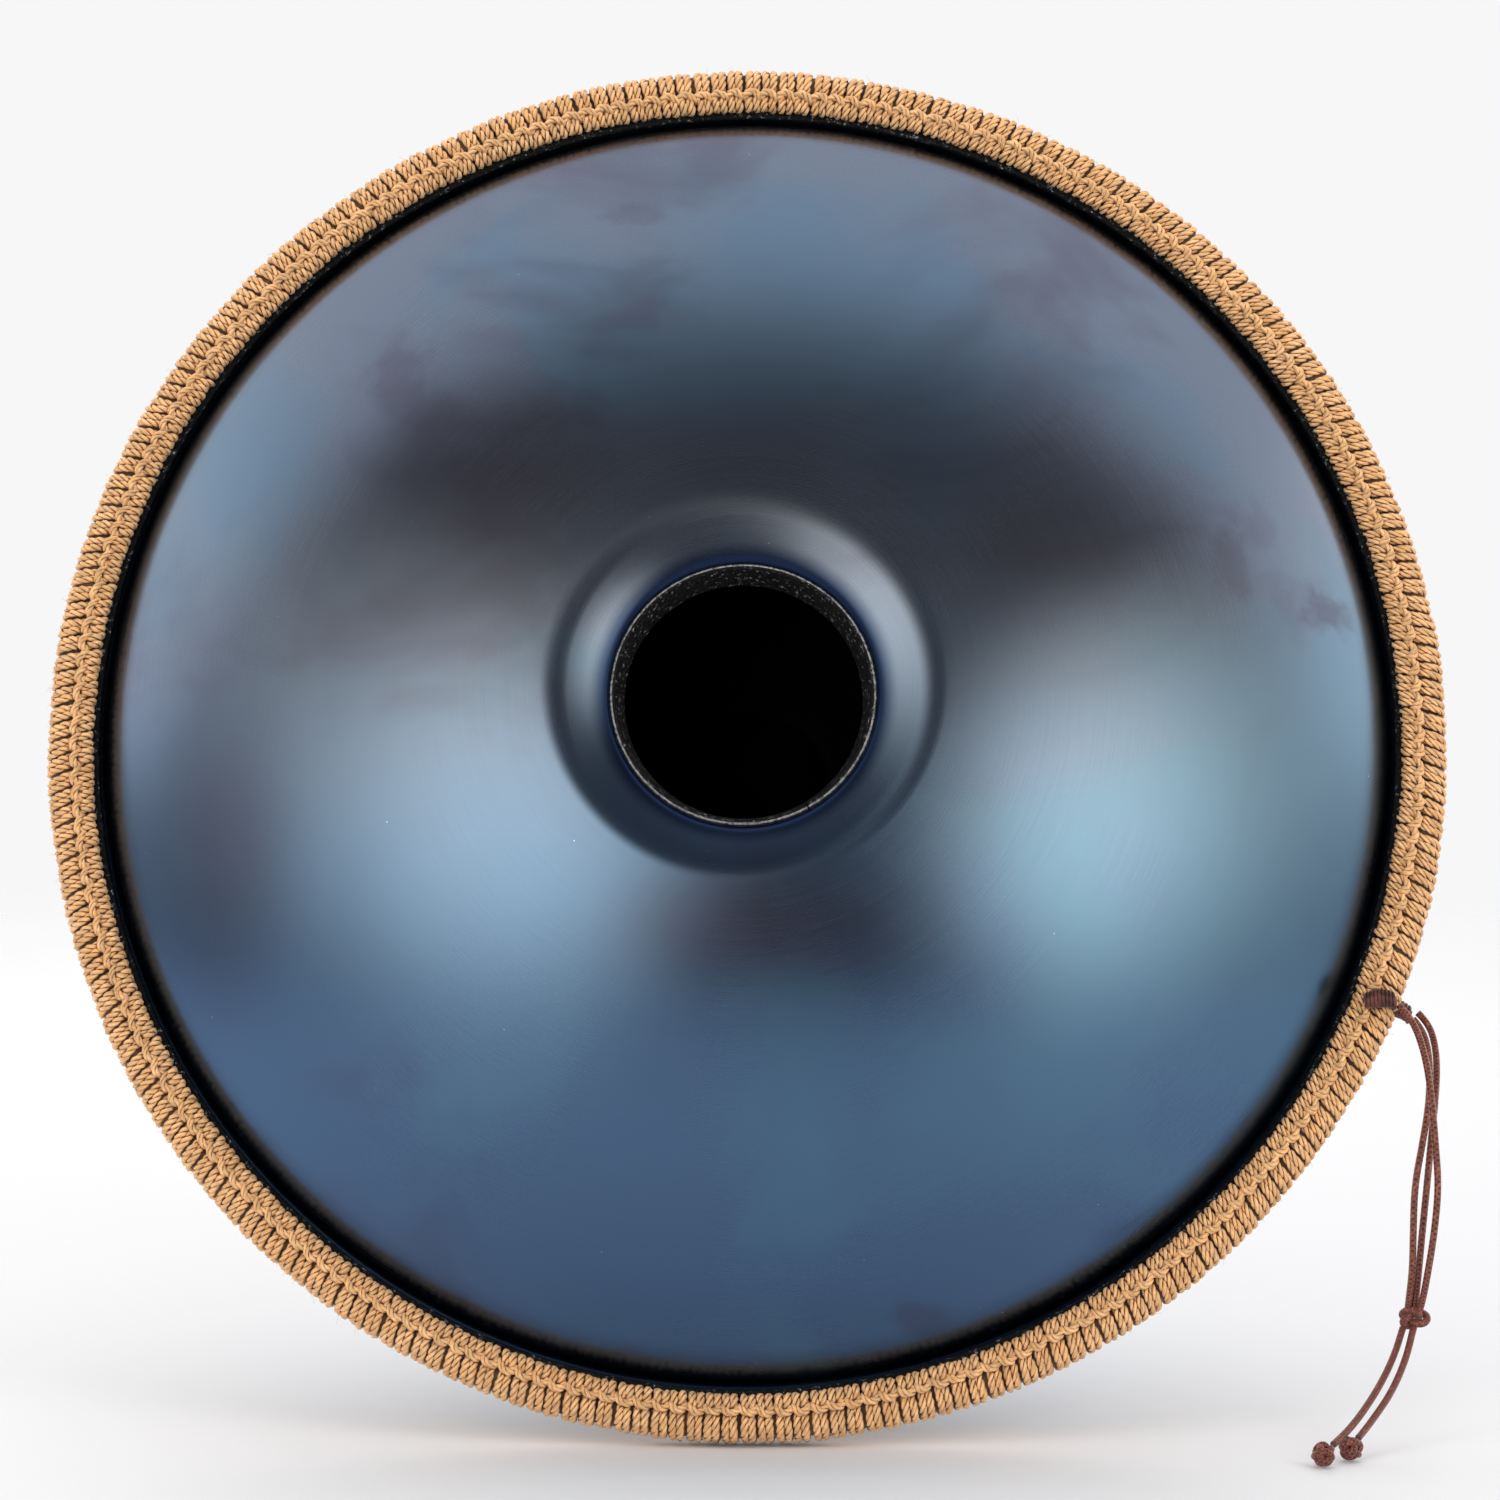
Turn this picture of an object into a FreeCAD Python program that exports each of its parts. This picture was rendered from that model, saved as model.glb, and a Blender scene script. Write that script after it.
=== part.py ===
import FreeCAD, Part

import os
from math import asin, atan2, cos, degrees, pi, radians, sin, sqrt, tan

import Sketcher

# A handpan: two pressed steel shells glued at a flat flange, with an edge trim and a knotted
# jute binding round the rim, a sound port with its own trim, and a tied satin cord at one side.
# Every ring-shaped piece is drawn round the pan's own axis (+Z out of the port, Z = 0 in the
# glue line) and then stood on the rim, leaning back. The cord is drawn where it hangs: +Z up,
# the port towards -Y, the origin where the binding touches the floor.

Vector = FreeCAD.Vector

# Driving dimensions in millimetres and degrees.
SIZES = {
    "lean_angle": 16.0,
    # pressed sheet and flange
    "sheet_thickness": 1.2,
    "glue_thickness": 0.3,
    "flange_radius": 272.0,
    "root_bend": 3.0,
    "dome_radius": 347.0,
    "bottom_apex": 116.0,
    "top_apex": 118.0,
    # the rolled sound port of the bottom shell
    "crest_bend": 12.0,
    "funnel_bend": 30.0,
    "neck_bend": 14.0,
    "funnel_start": 20.0,
    "funnel_end": 50.0,
    "port_radius": 48.5,
    "neck_length": 7.0,
    # the centre note of the top shell
    "ding_field_radius": 98.0,
    "ding_field_edge": 40.0,
    "ding_field_slope": 5.0,
    "ding_field_bow": 900.0,
    "ding_shoulder_radius": 38.0,
    "ding_shoulder_bend": 12.0,
    "ding_edge_angle": 28.0,
    # the ring of tone fields
    "tone_field_count": 8,
    "tone_ring_radius": 175.0,
    "tone_field_bow": 700.0,
    "tone_field_depth_low": 3.2,
    "tone_field_depth_high": 1.7,
    "tone_field_reach": 72.0,
    "dimple_depth": 2.2,
    "dimple_minor": 42.0,
    "dimple_major": 50.0,
    # edge trims
    "trim_clearance": 0.05,
    "rim_trim_thickness": 1.4,
    "rim_trim_inner_radius": 260.0,
    "rim_trim_outer_radius": 273.6,
    "port_trim_thickness": 1.8,
    "port_trim_wrap": 25.0,
    "trim_corner": 1.2,
    # jute binding
    "binding_inner_radius": 263.0,
    "binding_outer_radius": 280.0,
    "binding_half_width": 8.5,
    "binding_inner_round": 3.0,
    "binding_outer_round": 7.0,
    "binding_gap": 0.3,
    # satin tie
    "cord_diameter": 2.5,
    "coil_radius": 3.5,
    "coil_round": 1.0,
    "button_radius": 5.0,
    "gather_radius": 4.9,
    "gather_round": 3.0,
}

doc = FreeCAD.newDocument("handpan")
sheet = doc.addObject("Spreadsheet::Sheet", "Sizes")
for row, (alias, value) in enumerate(SIZES.items(), start=1):
    sheet.set(f"A{row}", str(value))
    sheet.setAlias(f"A{row}", alias)
doc.recompute()


def size(alias):
    """A driving dimension, read back from the sheet."""
    return float(sheet.get(alias))


THICK = size("sheet_thickness")
HALF_GLUE = size("glue_thickness") / 2
LEAN = size("lean_angle")

# The binding rests on its rounded outer edge, on the side away from the port.
ROUND = size("binding_outer_round")
FOOT_R = size("binding_outer_radius") - ROUND
FOOT_Z = ROUND - size("binding_half_width")
RIM_CENTRE = Vector(
    0,
    FOOT_R * sin(radians(LEAN)) + FOOT_Z * cos(radians(LEAN)),
    FOOT_R * cos(radians(LEAN)) - FOOT_Z * sin(radians(LEAN)) + ROUND,
)

parts = []


def keep(part, name):
    """Names a finished sub-part and adds it to the pieces that are written out."""
    part.Label = name
    parts.append(part)
    return part


def stand(part, flipped=False):
    """Stands a piece drawn round the pan's axis on the rim. A flipped piece faces the back."""
    turn = 270 if flipped else 90
    rotation = FreeCAD.Rotation(Vector(1, 0, 0), turn - LEAN)
    part.Placement = FreeCAD.Placement(RIM_CENTRE, rotation)
    part.setExpression("Placement.Rotation.Angle", f"{turn} - Sizes.lean_angle")
    return part


def on_pan(radius, angle, height):
    """A point given round the pan's axis, in the standing frame."""
    rotation = FreeCAD.Rotation(Vector(1, 0, 0), 90 - LEAN)
    flat = Vector(radius * cos(radians(angle)), radius * sin(radians(angle)), height)
    return RIM_CENTRE + rotation.multVec(flat)


def normal(angle):
    """The direction at an angle from the pan's axis, in a half section (radius, height)."""
    return Vector(sin(radians(angle)), cos(radians(angle)), 0)


class Outline:
    """A half section of straight runs and bends, drawn as one sketch in the XZ plane."""

    def __init__(self):
        self.pieces = []

    def line(self, start, end, smooth=False, width=None):
        """A straight run. width is the expression for its end's radius, if the sheet holds it."""
        self.pieces.append((Part.LineSegment(start, end), 1, 2, smooth, None, width))
        return self

    def bend(self, centre, radius, first, last, smooth=True, rule=None):
        """A bend between two normals. A negative radius bends the other way."""
        turn = 90 if radius > 0 else 270
        a = radians(turn - first)
        b = radians(turn - last)
        circle = Part.Circle(centre, Vector(0, 0, 1), abs(radius))
        arc = Part.ArcOfCircle(circle, min(a, b), max(a, b))
        ends = (1, 2) if b > a else (2, 1)
        self.pieces.append((arc, ends[0], ends[1], smooth, rule, None))
        return self

    def bends(self, centre, steps, normals, inset=0.0):
        """A run of tangent bends. steps holds each signed radius and its rule for the sheet."""
        for i, (radius, rule) in enumerate(steps):
            self.bend(centre, radius - inset, normals[i], normals[i + 1], i > 0, rule)
            if i + 1 < len(steps):
                centre = centre + normal(normals[i + 1]) * (radius - steps[i + 1][0])
        return self

    def draw(self, name, closed=True):
        """Makes the sketch with its joints, directions and sizes held by constraints."""
        sketch = doc.addObject("Sketcher::SketchObject", name)
        sketch.Placement.Rotation = FreeCAD.Rotation(Vector(1, 0, 0), 90)
        sketch.addGeometry([piece[0] for piece in self.pieces], False)
        add = sketch.addConstraint
        for i, (shape, first, last, smooth, rule, width) in enumerate(self.pieces):
            if i or closed:
                before = (i - 1) % len(self.pieces)
                kind = "Tangent" if smooth else "Coincident"
                add(Sketcher.Constraint(kind, before, self.pieces[before][2], i, first))
            if isinstance(shape, Part.LineSegment):
                run = shape.EndPoint - shape.StartPoint
                if abs(run.x) < 1e-6:
                    add(Sketcher.Constraint("Vertical", i))
                elif abs(run.y) < 1e-6:
                    add(Sketcher.Constraint("Horizontal", i))
            if rule:
                held = add(Sketcher.Constraint("Radius", i, shape.Radius))
                sketch.setExpression(f"Constraints[{held}]", rule)
            if width:
                held = add(Sketcher.Constraint("DistanceX", -1, 1, i, last, shape.EndPoint.x))
                sketch.setExpression(f"Constraints[{held}]", width)
        if sketch.solve() != 0:
            raise RuntimeError(f"{name} can't be solved")
        return sketch


def revolve(source, name):
    """One full turn of a section round the pan's axis."""
    solid = doc.addObject("Part::Revolution", name)
    solid.Source = source
    solid.Axis = Vector(0, 0, 1)
    solid.Angle = 360
    solid.Solid = True
    return solid


def cut(base, tool, name):
    """One solid less another."""
    result = doc.addObject("Part::Cut", name)
    result.Base = base
    result.Tool = tool
    return result


def fuse(shapes, name):
    """Several solids as one."""
    result = doc.addObject("Part::MultiFuse", name)
    result.Shapes = shapes
    return result


# ---------------------------------------------------------------- pressed shells

def dome_root(apex):
    """The dome's centre height, the root's radius on the flange and the dome's slope there."""
    centre = apex - size("dome_radius")
    rise = HALF_GLUE + THICK + size("root_bend") - centre
    root = sqrt((size("dome_radius") + size("root_bend")) ** 2 - rise ** 2)
    return centre, root, degrees(atan2(root, rise))


def neck_normals():
    """The normals where the port's bends meet, from the dome to the neck's straight wall."""
    start = size("funnel_start")
    end = size("funnel_end")
    reach = size("port_radius") + size("neck_bend")
    reach += (size("funnel_bend") - size("neck_bend")) * sin(radians(end))
    reach -= (size("funnel_bend") - size("crest_bend")) * sin(radians(start))
    dome_end = degrees(asin(reach / (size("dome_radius") - size("crest_bend"))))
    return [dome_end, -start, -end, -90.0]


def neck_centre():
    """The centre of the neck's bend in the half section."""
    centre, _, _ = dome_root(size("bottom_apex"))
    dome_end, start, end, _ = neck_normals()
    crest = Vector(0, centre, 0) + normal(dome_end) * (size("dome_radius") - size("crest_bend"))
    funnel = crest - normal(start) * (size("funnel_bend") - size("crest_bend"))
    return funnel + normal(end) * (size("funnel_bend") - size("neck_bend"))


def bottom_shell():
    """The port side: one pressed sheet from the flange over the dome and into the neck."""
    _, root, slope = dome_root(size("bottom_apex"))
    face = HALF_GLUE + THICK
    bend = neck_centre()
    port = size("port_radius")
    path = Outline()
    path.line(Vector(size("flange_radius"), face, 0), Vector(root, face, 0))
    steps = [
        (-size("root_bend"), "Sizes.root_bend"),
        (size("dome_radius"), "Sizes.dome_radius"),
        (size("crest_bend"), "Sizes.crest_bend"),
        (size("funnel_bend"), "Sizes.funnel_bend"),
        (size("neck_bend"), "Sizes.neck_bend"),
    ]
    start = Vector(root, face + size("root_bend"), 0)
    path.bends(start, steps, [0.0, slope] + neck_normals())
    neck_end = Vector(port, bend.y - size("neck_length"), 0)
    path.line(Vector(port, bend.y, 0), neck_end, smooth=True, width="Sizes.port_radius")
    sketch = path.draw("bottom_press_line", closed=False)
    section = doc.addObject("Part::Offset2D", "bottom_section")
    section.Source = sketch
    section.Value = -THICK
    section.setExpression("Value", "-Sizes.sheet_thickness")
    section.Mode = "Skin"
    section.Join = "Arc"
    section.Fill = True
    return keep(stand(revolve(section, "bottom_shell")), "bottom_shell")


def ding_bends():
    """The centre note's radii and normals, from the edge of its field to the axis."""
    field = size("ding_field_radius")
    dome_end = degrees(asin(field / size("dome_radius")))
    slope = size("ding_field_slope")
    inner = field - size("ding_field_edge") * (sin(radians(dome_end)) - sin(radians(slope)))
    shoulder = size("ding_shoulder_radius")
    flat = degrees(asin(sin(radians(slope)) - (inner - shoulder) / size("ding_field_bow")))
    edge = size("ding_edge_angle")
    rise = shoulder - size("ding_shoulder_bend") * (sin(radians(edge)) - sin(radians(flat)))
    radii = [
        (size("ding_field_edge"), "Sizes.ding_field_edge"),
        (size("ding_field_bow"), "Sizes.ding_field_bow"),
        (-size("ding_shoulder_bend"), "Sizes.ding_shoulder_bend"),
        (rise / sin(radians(edge)), None),
    ]
    return radii, [dome_end, slope, flat, edge, 0.0]


def top_form(name, inset, rule):
    """The solid under the top shell's outer face, or under its inner face with an inset."""
    _, root, slope = dome_root(size("top_apex"))
    radii, normals = ding_bends()
    steps = [(-size("root_bend"), "Sizes.root_bend"), (size("dome_radius"), "Sizes.dome_radius")]
    steps += radii
    ruled = []
    for radius, alias in steps:
        sign = "-" if radius > 0 else "+"
        ruled.append((radius, f"{alias} {sign} {rule}" if alias else None))
    face = HALF_GLUE + THICK
    below = HALF_GLUE if inset == 0 else -20.0
    edge = size("flange_radius") if inset == 0 else root
    path = Outline()
    path.line(Vector(0, below, 0), Vector(edge, below, 0))
    path.line(Vector(edge, below, 0), Vector(edge, face - inset, 0))
    if inset == 0:
        path.line(Vector(edge, face, 0), Vector(root, face, 0))
    start = Vector(root, face + size("root_bend"), 0)
    path.bends(start, ruled, [0.0, slope] + normals, inset)
    last = path.pieces[-1][0]
    apex = Vector(0, last.Center.y + last.Radius, 0)
    path.line(apex, Vector(0, below, 0))
    return revolve(path.draw(f"{name}_line"), name)


def tone_field(index):
    """A tone field's outward direction, its two directions in the surface, and its depth."""
    count = int(size("tone_field_count"))
    around = radians(360.0 / count * (index + 0.5))
    tilt = asin(size("tone_ring_radius") / size("dome_radius"))
    out = Vector(sin(tilt) * cos(around), sin(tilt) * sin(around), cos(tilt))
    across = Vector(-sin(around), cos(around), 0)
    low = size("tone_field_depth_low")
    step = (low - size("tone_field_depth_high")) / (count - 1)
    # the scale climbs in a zigzag, left and right in turn
    rank = 2 * index if index < count / 2 else 2 * (count - index) - 1
    return out, across, low - rank * step


def field_tools(index, inset, rule):
    """The tools that flatten one tone field and press its oval dimple."""
    out, across, depth = tone_field(index)
    centre, _, _ = dome_root(size("top_apex"))
    dome = Vector(0, 0, centre)
    face = dome + out * size("dome_radius")
    level = dome + out * (size("dome_radius") - depth)
    turn = FreeCAD.Rotation(Vector(0, 0, 1), across)
    tag = f"{index}_{'outer' if inset == 0 else 'inner'}"

    blank = doc.addObject("Part::Sphere", f"field_blank_{tag}")
    blank.Radius = size("tone_field_reach")
    blank.setExpression("Radius", "Sizes.tone_field_reach")
    blank.Placement.Base = face

    bow = doc.addObject("Part::Cylinder", f"field_bow_{tag}")
    bow.setExpression("Radius", f"Sizes.tone_field_bow - {rule}")
    bow.Height = 4 * size("tone_field_reach")
    middle = level - out * size("tone_field_bow")
    bow.Placement = FreeCAD.Placement(middle - across * (bow.Height.Value / 2), turn)

    dimple = doc.addObject("Part::Torus", f"dimple_{tag}")
    dimple.setExpression("Radius1", "Sizes.dimple_major")
    dimple.setExpression("Radius2", f"Sizes.dimple_minor + {rule}")
    lift = size("dimple_major") + size("dimple_minor") - size("dimple_depth")
    dimple.Placement = FreeCAD.Placement(level + out * lift, turn)
    return [cut(blank, bow, f"field_{tag}"), dimple]


def top_shell():
    """The playing side: the centre note and a ring of flattened oval fields with dimples."""
    faces = []
    for name, inset, rule in (("top_outer", 0.0, "0"), ("top_inner", THICK, "Sizes.sheet_thickness")):
        form = top_form(name, inset, rule)
        tools = []
        for index in range(int(size("tone_field_count"))):
            tools += field_tools(index, inset, rule)
        faces.append(cut(form, fuse(tools, f"{name}_tools"), f"{name}_face"))
    return keep(stand(cut(faces[0], faces[1], "top_shell"), flipped=True), "top_shell")


# ---------------------------------------------------------------- flange, trims and binding

def flange_adhesive():
    """The glue line that joins the two flanges."""
    _, root, _ = dome_root(size("bottom_apex"))
    disc = doc.addObject("Part::Cylinder", "glue_disc")
    hole = doc.addObject("Part::Cylinder", "glue_hole")
    for part, radius in ((disc, size("flange_radius")), (hole, root)):
        part.Radius = radius
        part.setExpression("Height", "Sizes.glue_thickness")
        part.Placement.Base = Vector(0, 0, -HALF_GLUE)
    disc.setExpression("Radius", "Sizes.flange_radius")
    return keep(stand(cut(disc, hole, "flange_adhesive")), "flange_adhesive")


def rim_edge_trim():
    """The U-shaped trim pushed over the two flanges."""
    inner = size("rim_trim_inner_radius")
    outer = size("rim_trim_outer_radius")
    corner = size("trim_corner")
    slot = HALF_GLUE + THICK + size("trim_clearance")
    half = slot + size("rim_trim_thickness")
    bottom = size("flange_radius") + size("trim_clearance")
    path = Outline()
    path.line(Vector(inner, slot, 0), Vector(inner, half, 0))
    path.line(Vector(inner, half, 0), Vector(outer - corner, half, 0))
    path.bend(Vector(outer - corner, half - corner, 0), corner, 0, 90, rule="Sizes.trim_corner")
    path.line(Vector(outer, half - corner, 0), Vector(outer, corner - half, 0), smooth=True)
    path.bend(Vector(outer - corner, corner - half, 0), corner, 90, 180, rule="Sizes.trim_corner")
    path.line(Vector(outer - corner, -half, 0), Vector(inner, -half, 0), smooth=True)
    path.line(Vector(inner, -half, 0), Vector(inner, -slot, 0))
    path.line(Vector(inner, -slot, 0), Vector(bottom, -slot, 0))
    path.line(Vector(bottom, -slot, 0), Vector(bottom, slot, 0))
    path.line(Vector(bottom, slot, 0), Vector(inner, slot, 0))
    return keep(stand(revolve(path.draw("rim_trim_section"), "rim_edge_trim")), "rim_edge_trim")


def port_edge_trim():
    """The U-shaped trim on the neck's end. Its leg in the hole follows the neck's bend."""
    bend = neck_centre()
    gap = size("trim_clearance")
    wall = size("port_trim_thickness")
    corner = size("trim_corner")
    top = size("port_trim_wrap") - 90
    hole_face = size("neck_bend") + gap
    back_face = size("neck_bend") - THICK - gap
    hole_r = size("port_radius") - gap
    back_r = size("port_radius") + THICK + gap
    seat = bend.y - size("neck_length") - gap
    foot = seat - wall
    inner = hole_r - wall
    outer = back_r + wall
    path = Outline()
    path.bend(bend, hole_face, top, -90, smooth=False)
    path.line(Vector(hole_r, bend.y, 0), Vector(hole_r, seat, 0), smooth=True)
    path.line(Vector(hole_r, seat, 0), Vector(back_r, seat, 0))
    path.line(Vector(back_r, seat, 0), Vector(back_r, bend.y, 0))
    path.bend(bend, back_face, -90, top)
    path.line(bend + normal(top) * back_face, bend + normal(top) * (back_face - wall))
    path.bend(bend, back_face - wall, top, -90, smooth=False)
    path.line(Vector(outer, bend.y, 0), Vector(outer, foot + corner, 0), smooth=True)
    path.bend(Vector(outer - corner, foot + corner, 0), corner, 90, 180, rule="Sizes.trim_corner")
    path.line(Vector(outer - corner, foot, 0), Vector(inner + corner, foot, 0), smooth=True)
    path.bend(Vector(inner + corner, foot + corner, 0), corner, 180, 270, rule="Sizes.trim_corner")
    path.line(Vector(inner, foot + corner, 0), Vector(inner, bend.y, 0), smooth=True)
    path.bend(bend, hole_face + wall, -90, top)
    path.line(bend + normal(top) * (hole_face + wall), bend + normal(top) * hole_face)
    return keep(stand(revolve(path.draw("port_trim_section"), "port_edge_trim")), "port_edge_trim")


def jute_binding():
    """The outer form of the knotted twine, open to the trim on its inner side."""
    inner = size("binding_inner_radius")
    outer = size("binding_outer_radius")
    half = size("binding_half_width")
    small = size("binding_inner_round")
    gap = size("binding_gap")
    slot = HALF_GLUE + THICK + size("trim_clearance") + size("rim_trim_thickness") + gap
    bottom = size("rim_trim_outer_radius") + gap
    inside = inner + small
    path = Outline()
    path.line(Vector(inner, slot, 0), Vector(inner, half - small, 0))
    path.bend(Vector(inside, half - small, 0), small, -90, 0, rule="Sizes.binding_inner_round")
    path.line(Vector(inside, half, 0), Vector(FOOT_R, half, 0), smooth=True)
    path.bend(Vector(FOOT_R, half - ROUND, 0), ROUND, 0, 90, rule="Sizes.binding_outer_round")
    path.line(Vector(outer, half - ROUND, 0), Vector(outer, ROUND - half, 0), smooth=True)
    path.bend(Vector(FOOT_R, ROUND - half, 0), ROUND, 90, 180, rule="Sizes.binding_outer_round")
    path.line(Vector(FOOT_R, -half, 0), Vector(inside, -half, 0), smooth=True)
    path.bend(Vector(inside, small - half, 0), small, 180, 270, rule="Sizes.binding_inner_round")
    path.line(Vector(inner, small - half, 0), Vector(inner, -slot, 0), smooth=True)
    path.line(Vector(inner, -slot, 0), Vector(bottom, -slot, 0))
    path.line(Vector(bottom, -slot, 0), Vector(bottom, slot, 0))
    path.line(Vector(bottom, slot, 0), Vector(inner, slot, 0))
    return keep(stand(revolve(path.draw("binding_section"), "jute_binding")), "jute_binding")


# ---------------------------------------------------------------- satin tie

# Where the two coils lie on the binding: radius, angle round the rim, height off the glue line.
FRONT_COIL = (on_pan(265.5, -23.8, 12.4), on_pan(277.8, -22.7, 12.4))
BACK_COIL = (on_pan(273.5, -22.6, -12.4), on_pan(286.5, -22.5, -12.0))

GATHER_KNOT = (Vector(254.3, 13.0, 47.6), Vector(268.5, 12.6, 48.4))
BUTTON_CENTRES = {
    "left": Vector(221.6, -37.6, 5.1),
    "right": Vector(233.2, -26.6, 5.1),
}

# The strands' routes, from where each leaves its knot to where it enters the next one.
FRONT_ROUTE = [
    (256.6, 32.4, 168.8), (261.2, 31.2, 164.0), (264.9, 29.8, 156.0), (267.7, 28.0, 145.0),
    (269.4, 25.6, 131.0), (270.6, 22.6, 114.5), (271.6, 19.8, 98.5), (269.6, 16.4, 80.5),
    (267.0, 13.2, 66.5), (264.6, 11.2, 54.4),
]
BACK_INNER_ROUTE = [
    (265.0, 53.6, 160.2), (268.2, 51.6, 156.6), (270.2, 47.0, 149.4), (270.4, 41.6, 140.0),
    (269.4, 36.0, 128.5), (266.4, 30.6, 114.0), (262.9, 25.6, 98.5), (261.9, 20.6, 81.5),
    (261.3, 16.4, 66.5), (259.6, 13.6, 54.4),
]
BACK_OUTER_ROUTE = [
    (267.0, 55.4, 162.6), (271.0, 54.2, 158.8), (273.4, 50.0, 151.0), (273.6, 44.6, 141.0),
    (272.2, 39.0, 129.0), (270.0, 33.0, 114.0), (268.0, 27.8, 98.0), (265.8, 22.6, 81.5),
    (264.0, 18.2, 66.5), (262.4, 14.6, 54.6),
]
TAIL_LEFT_ROUTE = [
    (256.2, 10.6, 41.7), (254.0, 7.2, 36.2), (250.0, 1.0, 29.4), (244.4, -7.6, 22.4),
    (237.4, -17.4, 15.4), (230.6, -26.4, 10.2), (225.8, -32.6, 7.8),
]
TAIL_RIGHT_ROUTE = [
    (260.6, 10.4, 42.2), (258.4, 6.0, 35.6), (254.8, 0.0, 28.4), (250.0, -6.8, 21.4),
    (244.4, -13.6, 15.6), (239.4, -19.6, 10.8), (236.4, -23.2, 8.4),
]


def rounded_path(points):
    """Straight runs joined by tangent arcs, and the arcs' radii."""
    edges = []
    radii = []
    start = points[0]
    for before, corner, after in zip(points, points[1:], points[2:]):
        back = (before - corner).normalize()
        ahead = (after - corner).normalize()
        turn = radians(180) - back.getAngle(ahead)
        run = min((before - corner).Length, (after - corner).Length)
        trim = 0.45 * run
        radius = trim / tan(turn / 2)
        middle = corner + (back + ahead).normalize() * (radius / cos(turn / 2) - radius)
        first = corner + back * trim
        last = corner + ahead * trim
        edges.append(Part.LineSegment(start, first).toShape())
        edges.append(Part.Arc(first, middle, last).toShape())
        radii.append(radius)
        start = last
    edges.append(Part.LineSegment(start, points[-1]).toShape())
    return Part.Wire(edges), radii


def cord(name, route):
    """A round satin cord along its route."""
    points = [Vector(*place) for place in route]
    wire, radii = rounded_path(points)
    radius = size("cord_diameter") / 2
    circle = Part.Circle(points[0], points[1] - points[0], radius).toShape()
    solid = wire.makePipeShell([Part.Wire(circle)], True, True)
    expected = pi * radius ** 2 * wire.Length
    print(f"{name}: length {wire.Length:.1f}, least radius {min(radii):.1f},",
          f"volume {solid.Volume / expected:.3f} of section times length")
    if abs(solid.Volume / expected - 1) > 0.02:
        raise RuntimeError(f"{name} has the wrong volume")
    part = doc.addObject("Part::Feature", name)
    part.Shape = solid
    part.Placement = FreeCAD.Placement()
    return keep(part, name)


def barrel(name, ends, radius, corner):
    """The rounded outer form of close turns, wound along the line between two points."""
    axis = (ends[1] - ends[0]).normalize()
    core = doc.addObject("Part::Cylinder", f"{name}_barrel")
    core.setExpression("Radius", f"Sizes.{radius}")
    core.Height = (ends[1] - ends[0]).Length
    doc.recompute()
    rounded = doc.addObject("Part::Fillet", name)
    rounded.Base = core
    rims = [i for i, edge in enumerate(core.Shape.Edges, start=1) if edge.Closed]
    rounded.Edges = [(i, size(corner), size(corner)) for i in rims]
    turn = FreeCAD.Rotation(Vector(0, 0, 1), axis)
    rounded.Placement = FreeCAD.Placement(ends[0], turn)
    return keep(rounded, name)


def button_knot(side):
    """The round outer form of a button knot."""
    ball = doc.addObject("Part::Sphere", f"button_knot_{side}")
    ball.setExpression("Radius", "Sizes.button_radius")
    ball.Placement.Base = BUTTON_CENTRES[side]
    return keep(ball, f"button_knot_{side}")


bottom_shell()
top_shell()
flange_adhesive()
rim_edge_trim()
port_edge_trim()
jute_binding()
barrel("front_coil_knot", FRONT_COIL, "coil_radius", "coil_round")
barrel("back_coil_knot", BACK_COIL, "coil_radius", "coil_round")
cord("tie_strand_front", FRONT_ROUTE)
cord("tie_strand_back_inner", BACK_INNER_ROUTE)
cord("tie_strand_back_outer", BACK_OUTER_ROUTE)
barrel("gather_knot", GATHER_KNOT, "gather_radius", "gather_round")
cord("tie_tail_left", TAIL_LEFT_ROUTE)
cord("tie_tail_right", TAIL_RIGHT_ROUTE)
button_knot("left")
button_knot("right")

doc.recompute()
for item in doc.Objects:
    if any(word in item.State for word in ("Invalid", "Error")):
        raise RuntimeError(f"{item.Label} failed: {item.State}")
os.makedirs("parts", exist_ok=True)
for part in parts:
    shape = part.Shape
    if shape.isNull() or not shape.isValid() or not shape.Solids:
        raise RuntimeError(f"{part.Label} has no valid shape")
    box = shape.BoundBox
    print(f"{part.Label}: {len(shape.Solids)} solid, {len(shape.Faces)} faces,",
          f"{shape.Volume / 1000:.2f} cm3, z {box.ZMin:.2f} to {box.ZMax:.2f}")
    shape.exportStep(f"parts/{part.Label}.step")
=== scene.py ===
import logging
import math
import random
from dataclasses import dataclass, field
from enum import Enum
from functools import cached_property

import bmesh
import bpy
from mathutils import Matrix, Vector, noise


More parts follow.
